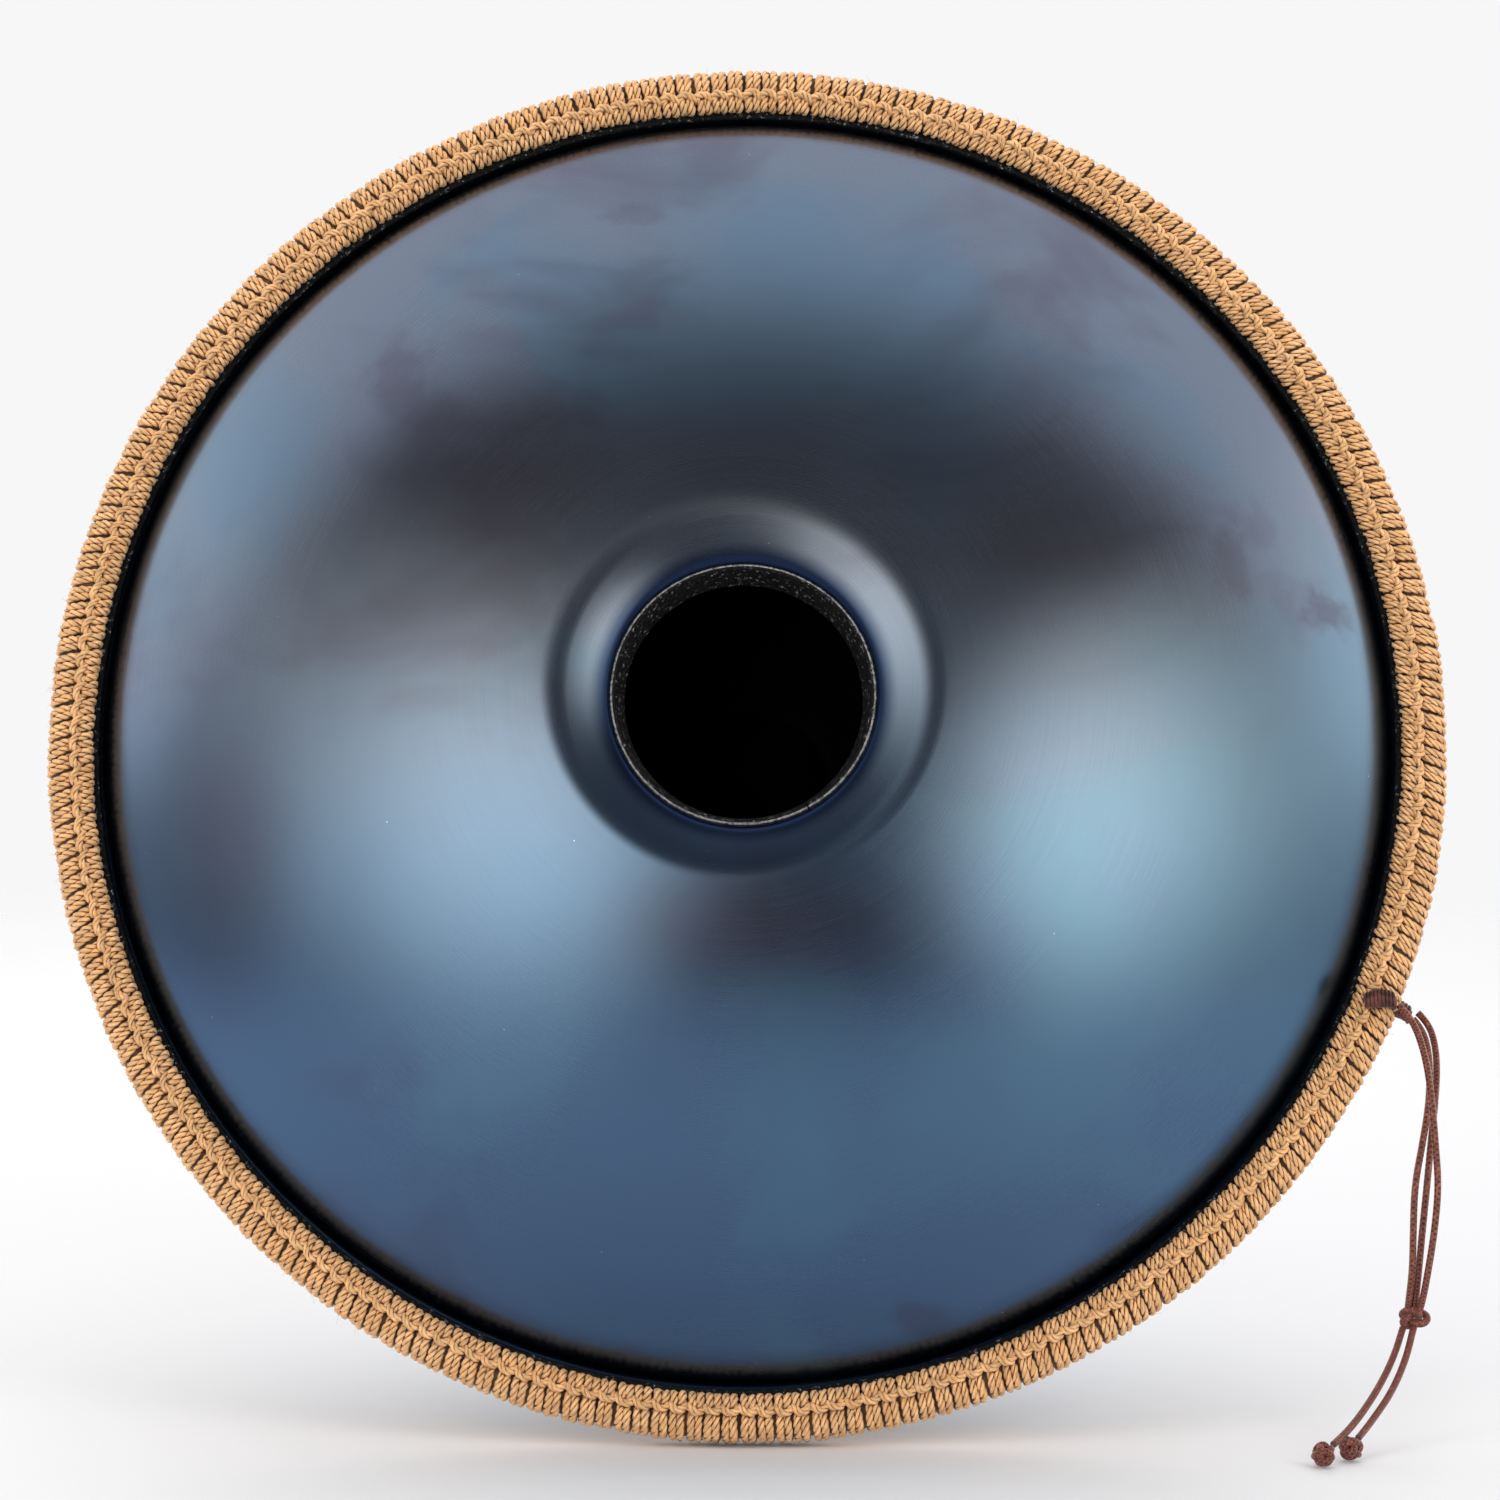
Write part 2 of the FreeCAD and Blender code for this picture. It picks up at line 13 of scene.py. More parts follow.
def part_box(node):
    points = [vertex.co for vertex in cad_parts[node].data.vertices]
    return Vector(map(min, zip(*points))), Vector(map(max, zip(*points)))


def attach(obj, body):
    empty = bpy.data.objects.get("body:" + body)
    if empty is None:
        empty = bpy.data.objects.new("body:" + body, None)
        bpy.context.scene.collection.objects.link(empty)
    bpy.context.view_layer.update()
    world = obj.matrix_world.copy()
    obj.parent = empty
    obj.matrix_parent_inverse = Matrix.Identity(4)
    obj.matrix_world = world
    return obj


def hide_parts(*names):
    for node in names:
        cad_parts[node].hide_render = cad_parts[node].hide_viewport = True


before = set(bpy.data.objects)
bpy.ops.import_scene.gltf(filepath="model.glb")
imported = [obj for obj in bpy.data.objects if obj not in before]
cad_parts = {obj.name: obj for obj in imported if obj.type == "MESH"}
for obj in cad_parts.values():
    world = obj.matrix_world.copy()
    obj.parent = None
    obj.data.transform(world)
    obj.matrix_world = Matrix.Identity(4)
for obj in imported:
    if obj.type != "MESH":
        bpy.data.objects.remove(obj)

logging.basicConfig(level=logging.INFO, format="%(levelname)s %(message)s")
log = logging.getLogger("handpan")

MM = 0.001
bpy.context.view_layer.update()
SHELL_STEPS = 256


class Side(Enum):
    """Which way a ring-shaped piece faces: out of the port or towards the playing side."""

    PORT = 1.0
    PLAYING = -1.0


class Socket(Enum):
    """The socket kinds that a shader group can have."""

    NUMBER = "NodeSocketFloat"
    VECTOR = "NodeSocketVector"
    COLOUR = "NodeSocketColor"


@dataclass(frozen=True)
class PanFrame:
    """The pan's own axes, +Z out of the port and Z = 0 in the glue line, stood on its rim."""

    lean: float = 16.0

    @cached_property
    def centre(self) -> Vector:
        """The middle of the binding's ring, in the standing frame."""
        low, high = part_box("jute_binding")
        return (Vector(low) + Vector(high)) / 2

    @property
    def tilt(self) -> float:
        """The turn about X that stands the pan up, in radians."""
        return math.radians(90.0 - self.lean)

    @cached_property
    def matrix(self) -> Matrix:
        """Takes a point of the pan's own axes to the standing frame."""
        return Matrix.Translation(self.centre) @ Matrix.Rotation(self.tilt, 4, "X")

    def facing(self, side: Side) -> Matrix:
        """The same for a piece drawn facing up that belongs on one side.

        Args:
            side: the side that the piece faces.

        Returns:
            The matrix that places its mesh.
        """
        if side is Side.PORT:
            return self.matrix
        return self.matrix @ Matrix.Rotation(math.pi, 4, "X")

    def point(self, radius: float, angle: float, height: float) -> Vector:
        """A point given round the pan's axis, in millimetres and degrees.

        Args:
            radius: the distance from the axis.
            angle: the angle round the axis, from +X.
            height: the height off the glue line.

        Returns:
            The point in metres, in the standing frame.
        """
        turn = math.radians(angle)
        flat = Vector((radius * math.cos(turn), radius * math.sin(turn), height)) * MM
        return self.matrix @ flat


PAN = PanFrame()


# ---------------------------------------------------------------- making meshes


class SectionLine:
    """A half section drawn by one vertex that runs straight and bends, in the XZ plane."""

    def __init__(self, radius: float, height: float, heading: float) -> None:
        """Starts the line.

        Args:
            radius: the start's distance from the axis, in millimetres.
            height: the start's height, in millimetres.
            heading: the first direction in degrees, 0 outwards and 90 up.
        """
        self.mesh = bmesh.new()
        self.tip = self.mesh.verts.new((radius * MM, 0.0, height * MM))
        self.first = self.tip
        self.heading = heading

    def _ahead(self) -> Vector:
        """The direction that the line runs in."""
        turn = math.radians(self.heading)
        return Vector((math.cos(turn), 0.0, math.sin(turn)))

    def run(self, length: float, steps: int = 1) -> "SectionLine":
        """Runs straight on.

        Args:
            length: how far, in millimetres.
            steps: how many edges the run has.

        Returns:
            The line itself, so that calls can follow one another.
        """
        for _ in range(steps):
            made = bmesh.ops.extrude_vert_indiv(self.mesh, verts=[self.tip])
            self.tip = made["verts"][0]
            self.tip.co += self._ahead() * (length * MM / steps)
        return self

    def bend(self, radius: float, turn: float, steps: int) -> "SectionLine":
        """Bends smoothly away from the present direction.

        Args:
            radius: the bend's radius, in millimetres.
            turn: how far it turns in degrees, positive to the left.
            steps: how many edges the bend has.

        Returns:
            The line itself, so that calls can follow one another.
        """
        ahead = self._ahead()
        left = Vector((-ahead.z, 0.0, ahead.x))
        centre = self.tip.co + left * math.copysign(radius * MM, turn)
        made = bmesh.ops.spin(
            self.mesh, geom=[self.tip], cent=centre, axis=(0, -1, 0), dvec=(0, 0, 0),
            angle=math.radians(turn), steps=steps, use_duplicate=False,
        )
        self.tip = next(e for e in made["geom_last"] if isinstance(e, bmesh.types.BMVert))
        self.heading += turn
        return self

    def close(self) -> "SectionLine":
        """Joins the line's end to its start.

        Returns:
            The line itself.
        """
        self.mesh.edges.new((self.tip, self.first))
        return self

    def turned(self, steps: int, gap: float = 0.0, start: float = 0.0) -> bmesh.types.BMesh:
        """Turns the section once round the axis.

        Args:
            steps: how many steps the turn has.
            gap: the angle that is left open, in degrees.
            start: the angle at which the turn starts, in degrees.

        Returns:
            The turned mesh, with its seam closed unless a gap is left.
        """
        work = self.mesh
        bmesh.ops.remove_doubles(work, verts=work.verts[:], dist=1e-7)
        bmesh.ops.rotate(
            work, cent=(0, 0, 0), verts=work.verts[:],
            matrix=Matrix.Rotation(math.radians(start), 3, "Z"),
        )
        bmesh.ops.spin(
            work, geom=work.verts[:] + work.edges[:], cent=(0, 0, 0), axis=(0, 0, 1),
            dvec=(0, 0, 0), angle=math.radians(360.0 - gap), steps=steps,
            use_merge=gap == 0.0, use_duplicate=False,
        )
        bmesh.ops.remove_doubles(work, verts=work.verts[:], dist=1e-7)
        if gap:
            bmesh.ops.holes_fill(work, edges=[e for e in work.edges if e.is_boundary], sides=0)
        bmesh.ops.recalc_face_normals(work, faces=work.faces[:])
        return work


def finished(
    work: bmesh.types.BMesh, name: str, place: Matrix, material: bpy.types.Material
) -> bpy.types.Object:
    """Turns a worked mesh into an object whose place is in its mesh.

    Args:
        work: the mesh, in its own axes.
        name: the object's name.
        place: the matrix that takes the mesh to the standing frame.
        material: the finish of every face.

    Returns:
        The new object, smooth shaded and linked to the scene.
    """
    bmesh.ops.transform(work, matrix=place, verts=work.verts[:])
    for face in work.faces:
        face.smooth = True
    mesh = bpy.data.meshes.new(name)
    work.to_mesh(mesh)
    work.free()
    mesh.materials.append(material)
    piece = bpy.data.objects.new(name, mesh)
    bpy.context.scene.collection.objects.link(piece)
    return piece


def nurbs_curve(
    name: str, routes: list[list[Vector]], radius: float, sides: int = 3,
    resolution: int = 6, order: int = 3, closed: bool = False,
) -> bpy.types.Object:
    """A curve object with one smooth round tube along each route.

    Args:
        name: the object's name.
        routes: the control points of each tube, in metres.
        radius: the tubes' radius in metres, or 0 for a bare line.
        sides: the bevel resolution round each tube.
        resolution: the steps between two control points.
        order: the spline's order.
        closed: whether each tube joins its own start.

    Returns:
        The curve object, linked to the scene.
    """
    data = bpy.data.curves.new(name, "CURVE")
    data.dimensions = "3D"
    data.bevel_depth = radius
    data.bevel_resolution = sides
    data.resolution_u = resolution
    data.use_fill_caps = radius > 0 and not closed
    for route in routes:
        spline = data.splines.new("NURBS")
        spline.points.add(len(route) - 1)
        for point, place in zip(spline.points, route):
            point.co = (*place, 1.0)
        spline.order_u = order
        spline.use_cyclic_u = closed
        spline.use_endpoint_u = not closed
    piece = bpy.data.objects.new(name, data)
    bpy.context.scene.collection.objects.link(piece)
    return piece


def centreline(route: list[Vector], resolution: int = 8) -> list[Vector]:
    """The points along the smooth line that a route controls.

    Args:
        route: the control points.
        resolution: the steps between two control points.

    Returns:
        The points from one end to the other.
    """
    guide = nurbs_curve("guide", [route], 0.0, resolution=resolution)
    mesh = bpy.data.meshes.new_from_object(guide)
    points = [vertex.co.copy() for vertex in mesh.vertices]
    data = guide.data
    bpy.data.objects.remove(guide)
    bpy.data.curves.remove(data)
    bpy.data.meshes.remove(mesh)
    return points


# ---------------------------------------------------------------- making materials


class Bench:
    """Adds and joins shader nodes in one tree."""

    def __init__(self, tree: bpy.types.NodeTree) -> None:
        """Takes the tree to work in."""
        self.tree = tree

    def node(self, kind: str, inputs: dict | None = None, **settings: object) -> bpy.types.Node:
        """Adds one node.

        Args:
            kind: the node's type name.
            inputs: a value or a socket to join for each named or numbered input.
            settings: the node's own properties.

        Returns:
            The new node.
        """
        made = self.tree.nodes.new(kind)
        for name, value in settings.items():
            setattr(made, name, value)
        for key, value in (inputs or {}).items():
            if isinstance(value, bpy.types.NodeSocket):
                self.tree.links.new(value, made.inputs[key])
            else:
                made.inputs[key].default_value = value
        return made

    def math(self, operation: str, *values: object, clamp: bool = False) -> bpy.types.NodeSocket:
        """The result of a Math node on up to three values or sockets."""
        inputs = dict(enumerate(values))
        return self.node("ShaderNodeMath", inputs, operation=operation, use_clamp=clamp).outputs[0]

    def vector(self, operation: str, *values: object) -> bpy.types.NodeSocket:
        """The vector result of a Vector Math node."""
        inputs = dict(enumerate(values))
        return self.node("ShaderNodeVectorMath", inputs, operation=operation).outputs[0]

    def noise(
        self, vector: object, scale: float, detail: float = 2.0, rough: float = 0.5,
        twist: float = 0.0,
    ) -> bpy.types.NodeSocket:
        """A Noise Texture's value.

        Args:
            vector: the coordinates.
            scale: the pattern's scale, per metre.
            detail: the octaves of finer noise.
            rough: how strong the finer octaves are.
            twist: the distortion.

        Returns:
            The value socket.
        """
        inputs = {
            "Vector": vector, "Scale": scale, "Detail": detail, "Roughness": rough,
            "Distortion": twist,
        }
        return self.node("ShaderNodeTexNoise", inputs).outputs[0]

    def span(
        self, value: object, low: float, high: float, to_low: float = 0.0, to_high: float = 1.0,
        smooth: bool = True,
    ) -> bpy.types.NodeSocket:
        """Maps a value from one span to another, clamped.

        Args:
            value: the socket to map.
            low: where the first span starts.
            high: where the first span ends.
            to_low: the result at the start.
            to_high: the result at the end.
            smooth: whether the change eases in and out.

        Returns:
            The mapped value.
        """
        inputs = {0: value, 1: low, 2: high, 3: to_low, 4: to_high}
        kind = "SMOOTHSTEP" if smooth else "LINEAR"
        return self.node("ShaderNodeMapRange", inputs, interpolation_type=kind).outputs[0]

    def mix(self, share: object, first: object, second: object, blend: str = "MIX") -> bpy.types.NodeSocket:
        """A colour mix of two colours or sockets by a share."""
        inputs = {0: share, 6: first, 7: second}
        return self.node("ShaderNodeMix", inputs, data_type="RGBA", blend_type=blend).outputs[2]

    def bump(self, height: object, depth: float, strength: float = 1.0, normal: object = None) -> bpy.types.NodeSocket:
        """The normal of a Bump node whose height is in metres times depth."""
        inputs = {"Strength": strength, "Distance": depth, "Height": height}
        if normal is not None:
            inputs["Normal"] = normal
        return self.node("ShaderNodeBump", inputs).outputs[0]


class Group:
    """A shader node group with named inputs and outputs."""

    def __init__(self, name: str, inputs: dict[str, tuple[Socket, object]], outputs: dict[str, Socket]) -> None:
        """Makes the empty group.

        Args:
            name: the group's name.
            inputs: each input's kind and default value.
            outputs: each output's kind.
        """
        self.tree = bpy.data.node_groups.new(name, "ShaderNodeTree")
        for label, (kind, value) in inputs.items():
            socket = self.tree.interface.new_socket(label, in_out="INPUT", socket_type=kind.value)
            if value is not None:
                socket.default_value = value
        for label, kind in outputs.items():
            self.tree.interface.new_socket(label, in_out="OUTPUT", socket_type=kind.value)
        self.bench = Bench(self.tree)
        self.into = self.bench.node("NodeGroupInput").outputs
        self.out = self.bench.node("NodeGroupOutput").inputs

    def give(self, label: str, socket: bpy.types.NodeSocket) -> None:
        """Joins a result to one of the group's outputs."""
        self.tree.links.new(socket, self.out[label])

    def place(self, bench: Bench, inputs: dict) -> bpy.types.Node:
        """Places the group in a material's tree.

        Args:
            bench: the material's bench.
            inputs: the values or sockets of its inputs.

        Returns:
            The group's node.
        """
        made = bench.tree.nodes.new("ShaderNodeGroup")
        made.node_tree = self.tree
        for key, value in inputs.items():
            if isinstance(value, bpy.types.NodeSocket):
                bench.tree.links.new(value, made.inputs[key])
            else:
                made.inputs[key].default_value = value
        return made


class Effects:
    """The surface effects that several finishes share."""

    def __init__(self) -> None:
        """Builds each effect once."""
        self.patch = self._patch()
        self.specks = self._specks()
        self.grain = self._grain()
        self.fibres = self._fibres()

    @staticmethod
    def _patch() -> Group:
        """A soft oval patch with a ragged edge, for painted dark reflection, smudges and finger marks."""
        group = Group(
            "soft_patch",
            {
                "Vector": (Socket.VECTOR, (0, 0, 0)), "Centre": (Socket.VECTOR, (0, 0, 0)),
                "Reach": (Socket.VECTOR, (0.05, 0.05, 1.0)), "Ragged": (Socket.NUMBER, 0.3),
                "Scale": (Socket.NUMBER, 40.0), "Edge": (Socket.NUMBER, 0.8),
            },
            {"Mask": Socket.NUMBER},
        )
        b, i = group.bench, group.into
        away = b.vector("DIVIDE", b.vector("SUBTRACT", i["Vector"], i["Centre"]), i["Reach"])
        flat = b.vector("MULTIPLY", away, (1, 1, 0))
        reach = b.node("ShaderNodeVectorMath", {0: flat}, operation="LENGTH").outputs[1]
        rag = b.node(
            "ShaderNodeTexNoise",
            {"Vector": i["Vector"], "Scale": i["Scale"], "Detail": 3.0, "Roughness": 0.6},
        ).outputs[0]
        rag = b.math("MULTIPLY", b.math("SUBTRACT", rag, 0.5), i["Ragged"])
        reach = b.math("ADD", reach, b.math("MULTIPLY", rag, 4.0))
        start = b.math("SUBTRACT", 1.0, i["Edge"])
        mask = b.node(
            "ShaderNodeMapRange", {0: reach, 1: start, 2: 1.0, 3: 1.0, 4: 0.0},
            interpolation_type="SMOOTHSTEP",
        ).outputs[0]
        group.give("Mask", mask)
        return group

    @staticmethod
    def _specks() -> Group:
        """Sparse dust flecks."""
        group = Group(
            "dust_specks",
            {
                "Vector": (Socket.VECTOR, (0, 0, 0)), "Scale": (Socket.NUMBER, 300.0),
                "Size": (Socket.NUMBER, 0.06), "Share": (Socket.NUMBER, 0.1),
            },
            {"Mask": Socket.NUMBER},
        )
        b, i = group.bench, group.into
        cells = b.node(
            "ShaderNodeTexVoronoi", {"Vector": i["Vector"], "Scale": i["Scale"]}, feature="F1",
        )
        near = b.math("LESS_THAN", cells.outputs["Distance"], i["Size"])
        pick = b.node("ShaderNodeSeparateColor", {0: cells.outputs["Color"]}).outputs[0]
        group.give("Mask", b.math("MULTIPLY", near, b.math("LESS_THAN", pick, i["Share"])))
        return group

    @staticmethod
    def _grain() -> Group:
        """Pressed leather grain: raised pebbles with sunk lines between them."""
        group = Group(
            "pressed_grain",
            {"Vector": (Socket.VECTOR, (0, 0, 0)), "Scale": (Socket.NUMBER, 700.0)},
            {"Height": Socket.NUMBER},
        )
        b, i = group.bench, group.into
        warp = b.node("ShaderNodeTexNoise", {"Vector": i["Vector"], "Scale": i["Scale"]})
        moved = b.vector("ADD", i["Vector"], b.vector("MULTIPLY", warp.outputs[1], (0.0006,) * 3))
        cells = b.node(
            "ShaderNodeTexVoronoi", {"Vector": moved, "Scale": i["Scale"]},
            feature="DISTANCE_TO_EDGE",
        ).outputs["Distance"]
        pebble = b.node(
            "ShaderNodeMapRange", {0: cells, 1: 0.0, 2: 0.22, 3: 0.0, 4: 1.0},
            interpolation_type="SMOOTHSTEP",
        ).outputs[0]
        group.give("Height", pebble)
        return group

    @staticmethod
    def _fibres() -> Group:
        """Fine fibres along a strand, from its own UV map and its place on the object."""
        group = Group(
            "strand_fibres",
            {
                "UV": (Socket.VECTOR, (0, 0, 0)), "Place": (Socket.VECTOR, (0, 0, 0)),
                "Along": (Socket.NUMBER, 4.0), "Around": (Socket.NUMBER, 12.0),
                "Shift": (Socket.NUMBER, 60.0),
            },
            {"Streak": Socket.NUMBER, "Tone": Socket.NUMBER},
        )
        b, i = group.bench, group.into
        scale = b.node("ShaderNodeCombineXYZ", {0: i["Along"], 1: i["Around"], 2: 1.0}).outputs[0]
        shift = b.node("ShaderNodeVectorMath", {0: i["Place"], 3: i["Shift"]}, operation="SCALE")
        vector = b.vector("ADD", b.vector("MULTIPLY", i["UV"], scale), shift.outputs[0])
        group.give("Streak", b.noise(vector, 1.0, 3.0, 0.65))
        group.give("Tone", b.noise(i["Place"], 260.0, 2.0, 0.5))
        return group


@dataclass(frozen=True)
class SteelFinish:
    """Satin heat-blued steel, with brush lines, finger marks and dust, plum patches painted as dark reflection, and
    painted shade darkening it to navy near the rim and the port.
    """

    effects: Effects
    grey: tuple = (0.18, 0.222, 0.31, 1)
    blue: tuple = (0.10, 0.178, 0.32, 1)
    cyan: tuple = (0.115, 0.24, 0.37, 1)
    plum: tuple = (0.085, 0.062, 0.10, 1)
    # the navy of the painted shade near the rim trim and in the port
    painted_shade_navy: tuple = (0.010, 0.024, 0.075, 1)
    roughness: float = 0.27
    # plum patches where the steel's reflection is dark: painted dark reflection
    dark_reflection_patches: tuple = (
        ((-0.094, 0.083), (0.07, 0.05), 0.5), ((0.118, 0.062), (0.08, 0.045), 0.4),
        ((0.010, -0.094), (0.08, 0.035), 0.55), ((-0.200, -0.054), (0.04, 0.08), 0.4),
        ((0.0, 0.095), (0.12, 0.045), 0.3),
    )
    marks: tuple = (
        ((-0.043, 0.204), (0.016, 0.008), 0.22), ((-0.136, 0.135), (0.018, 0.022), 0.26),
        ((-0.123, 0.112), (0.016, 0.012), 0.22), ((0.190, 0.061), (0.010, 0.028), 0.26),
        ((0.232, 0.044), (0.016, 0.012), 0.5), ((0.201, 0.076), (0.012, 0.014), 0.2),
        ((0.068, -0.233), (0.018, 0.008), 0.35), ((-0.048, -0.248), (0.03, 0.006), 0.2),
    )

    def material(self) -> bpy.types.Material:
        """The outer face's finish.

        Returns:
            The material.
        """
        made = bpy.data.materials.new("blued_steel")
        made.use_nodes = True
        made.node_tree.nodes.clear()
        b = Bench(made.node_tree)
        place = b.node("ShaderNodeTexCoord").outputs["Object"]
        local = b.node(
            "ShaderNodeMapping",
            {"Vector": place, "Location": PAN.centre, "Rotation": (PAN.tilt, 0, 0)},
            vector_type="TEXTURE",
        ).outputs[0]
        cloud = b.noise(local, 7.0, 3.0, 0.5, 0.4)
        height = b.node("ShaderNodeSeparateXYZ", {0: local}).outputs[1]
        low = b.span(b.math("ADD", height, b.math("MULTIPLY", cloud, 0.08)), 0.12, -0.09)
        colour = b.mix(low, self.grey, self.blue)
        colour = b.mix(b.math("MULTIPLY", b.span(cloud, 0.48, 0.66), 0.5), colour, self.cyan)
        haze = b.span(b.noise(b.vector("ADD", local, (3, 1, 0)), 6.0, 4.0, 0.6, 0.8), 0.52, 0.72)
        colour = b.mix(b.math("MULTIPLY", haze, 0.4), colour, self.plum)
        # painted dark reflection: plum patches laid where the steel reflects dark
        for centre, reach, share in self.dark_reflection_patches:
            patch = self.effects.patch.place(
                b, {"Vector": local, "Centre": (*centre, 0), "Reach": (*reach, 1), "Ragged": 0.10, "Scale": 14.0, "Edge": 0.95},
            ).outputs[0]
            colour = b.mix(b.math("MULTIPLY", patch, share), colour, self.plum)
        worn = 0.0
        for centre, reach, share in self.marks:
            patch = self.effects.patch.place(
                b, {"Vector": local, "Centre": (*centre, 0), "Reach": (*reach, 1), "Ragged": 0.42, "Scale": 70.0, "Edge": 0.7},
            ).outputs[0]
            worn = b.math("ADD", worn, b.math("MULTIPLY", patch, share))
        colour = b.mix(worn, colour, self.plum)
        flat = b.vector("MULTIPLY", local, (1, 1, 0))
        radius = b.node("ShaderNodeVectorMath", {0: flat}, operation="LENGTH").outputs[1]
        port = b.vector("ADD", flat, (0, PORT_LEAN, 0))
        port = b.node("ShaderNodeVectorMath", {0: port}, operation="LENGTH").outputs[1]
        # the playing side has no port
        port = b.math("ADD", port, b.span(b.node("ShaderNodeSeparateXYZ", {0: local}).outputs[2], 0.02, 0.0))
        # painted shade: the colour darkens to navy towards the rim trim, into the port's neck and a little on the
        # funnel round the port
        shade = b.math("MULTIPLY", b.span(radius, 0.243, 0.2575, 1.0, 0.14), b.span(port, 0.0525, 0.060, 0.08, 1.0))
        shade = b.math("MULTIPLY", shade, b.span(port, 0.064, 0.076, 0.8, 1.0))
        colour = b.mix(shade, self.painted_shade_navy, colour)
        rings = b.node(
            "ShaderNodeCombineXYZ",
            {0: b.math("MULTIPLY", radius, 2600.0), 1: 0.0, 2: 0.0},
        ).outputs[0]
        slow = b.vector("MULTIPLY", local, (24, 24, 24))
        brush = b.noise(b.vector("ADD", rings, slow), 1.0, 2.0, 0.6)
        fine = b.noise(local, 1400.0, 2.0, 0.6)
        rough = b.math("ADD", b.span(brush, 0.3, 0.7, -0.015, 0.015), self.roughness)
        rough = b.math("ADD", rough, b.span(cloud, 0.3, 0.7, -0.03, 0.03))
        height = b.math("ADD", b.math("MULTIPLY", brush, 0.6), b.math("MULTIPLY", fine, 0.5))
        normal = b.bump(height, 0.00001, 0.22)
        dust = self.effects.specks.place(b, {"Vector": local, "Scale": 110.0, "Size": 0.03, "Share": 0.12})
        colour = b.mix(b.math("MULTIPLY", dust.outputs[0], 0.6), colour, (0.6, 0.62, 0.65, 1))
        shader = b.node(
            "ShaderNodeBsdfPrincipled",
            {"Base Color": colour, "Metallic": 1.0, "Roughness": rough, "Normal": normal},
        )
        b.node("ShaderNodeOutputMaterial", {0: shader.outputs[0]})
        return made


@dataclass(frozen=True)
class InnerSteelFinish:
    """The shells' inner faces, painted near-black as the shade inside the pan."""

    effects: Effects
    # near-black colours: painted shade inside the pan
    base: tuple = (0.003, 0.0035, 0.005, 1)
    scale: tuple = (0.006, 0.008, 0.011, 1)

    def material(self) -> bpy.types.Material:
        """The inner faces' finish.

        Returns:
            The material.
        """
        made = bpy.data.materials.new("inner_steel")
        made.use_nodes = True
        made.node_tree.nodes.clear()
        b = Bench(made.node_tree)
        place = b.node("ShaderNodeTexCoord").outputs["Object"]
        cloud = b.noise(place, 30.0, 4.0, 0.6)
        dust = self.effects.specks.place(b, {"Vector": place, "Scale": 160.0, "Size": 0.05}).outputs[0]
        colour = b.mix(b.span(cloud, 0.4, 0.65), self.base, self.scale)
        colour = b.mix(b.math("MULTIPLY", dust, 0.3), colour, (0.12, 0.12, 0.13, 1))
        shader = b.node(
            "ShaderNodeBsdfPrincipled",
            {"Base Color": colour, "Metallic": 1.0, "Roughness": b.span(cloud, 0.3, 0.7, 0.42, 0.55)},
        )
        b.node("ShaderNodeOutputMaterial", {0: shader.outputs[0]})
        return made


@dataclass(frozen=True)
class AdhesiveFinish:
    """Cured amber glue."""

    clear: tuple = (0.22, 0.15, 0.07, 1)
    cloudy: tuple = (0.34, 0.27, 0.16, 1)

    def material(self) -> bpy.types.Material:
        """The glue line's finish.

        Returns:
            The material.
        """
        made = bpy.data.materials.new("cured_adhesive")
        made.use_nodes = True
        made.node_tree.nodes.clear()
        b = Bench(made.node_tree)
        place = b.node("ShaderNodeTexCoord").outputs["Object"]
        cloud = b.noise(place, 260.0, 4.0, 0.6)
        colour = b.mix(b.span(cloud, 0.35, 0.65), self.clear, self.cloudy)
        shader = b.node(
            "ShaderNodeBsdfPrincipled",
            {
                "Base Color": colour, "Roughness": b.span(cloud, 0.3, 0.7, 0.25, 0.5),
                "Normal": b.bump(cloud, 0.0003, 0.5),
            },
        )
        b.node("ShaderNodeOutputMaterial", {0: shader.outputs[0]})
        return made


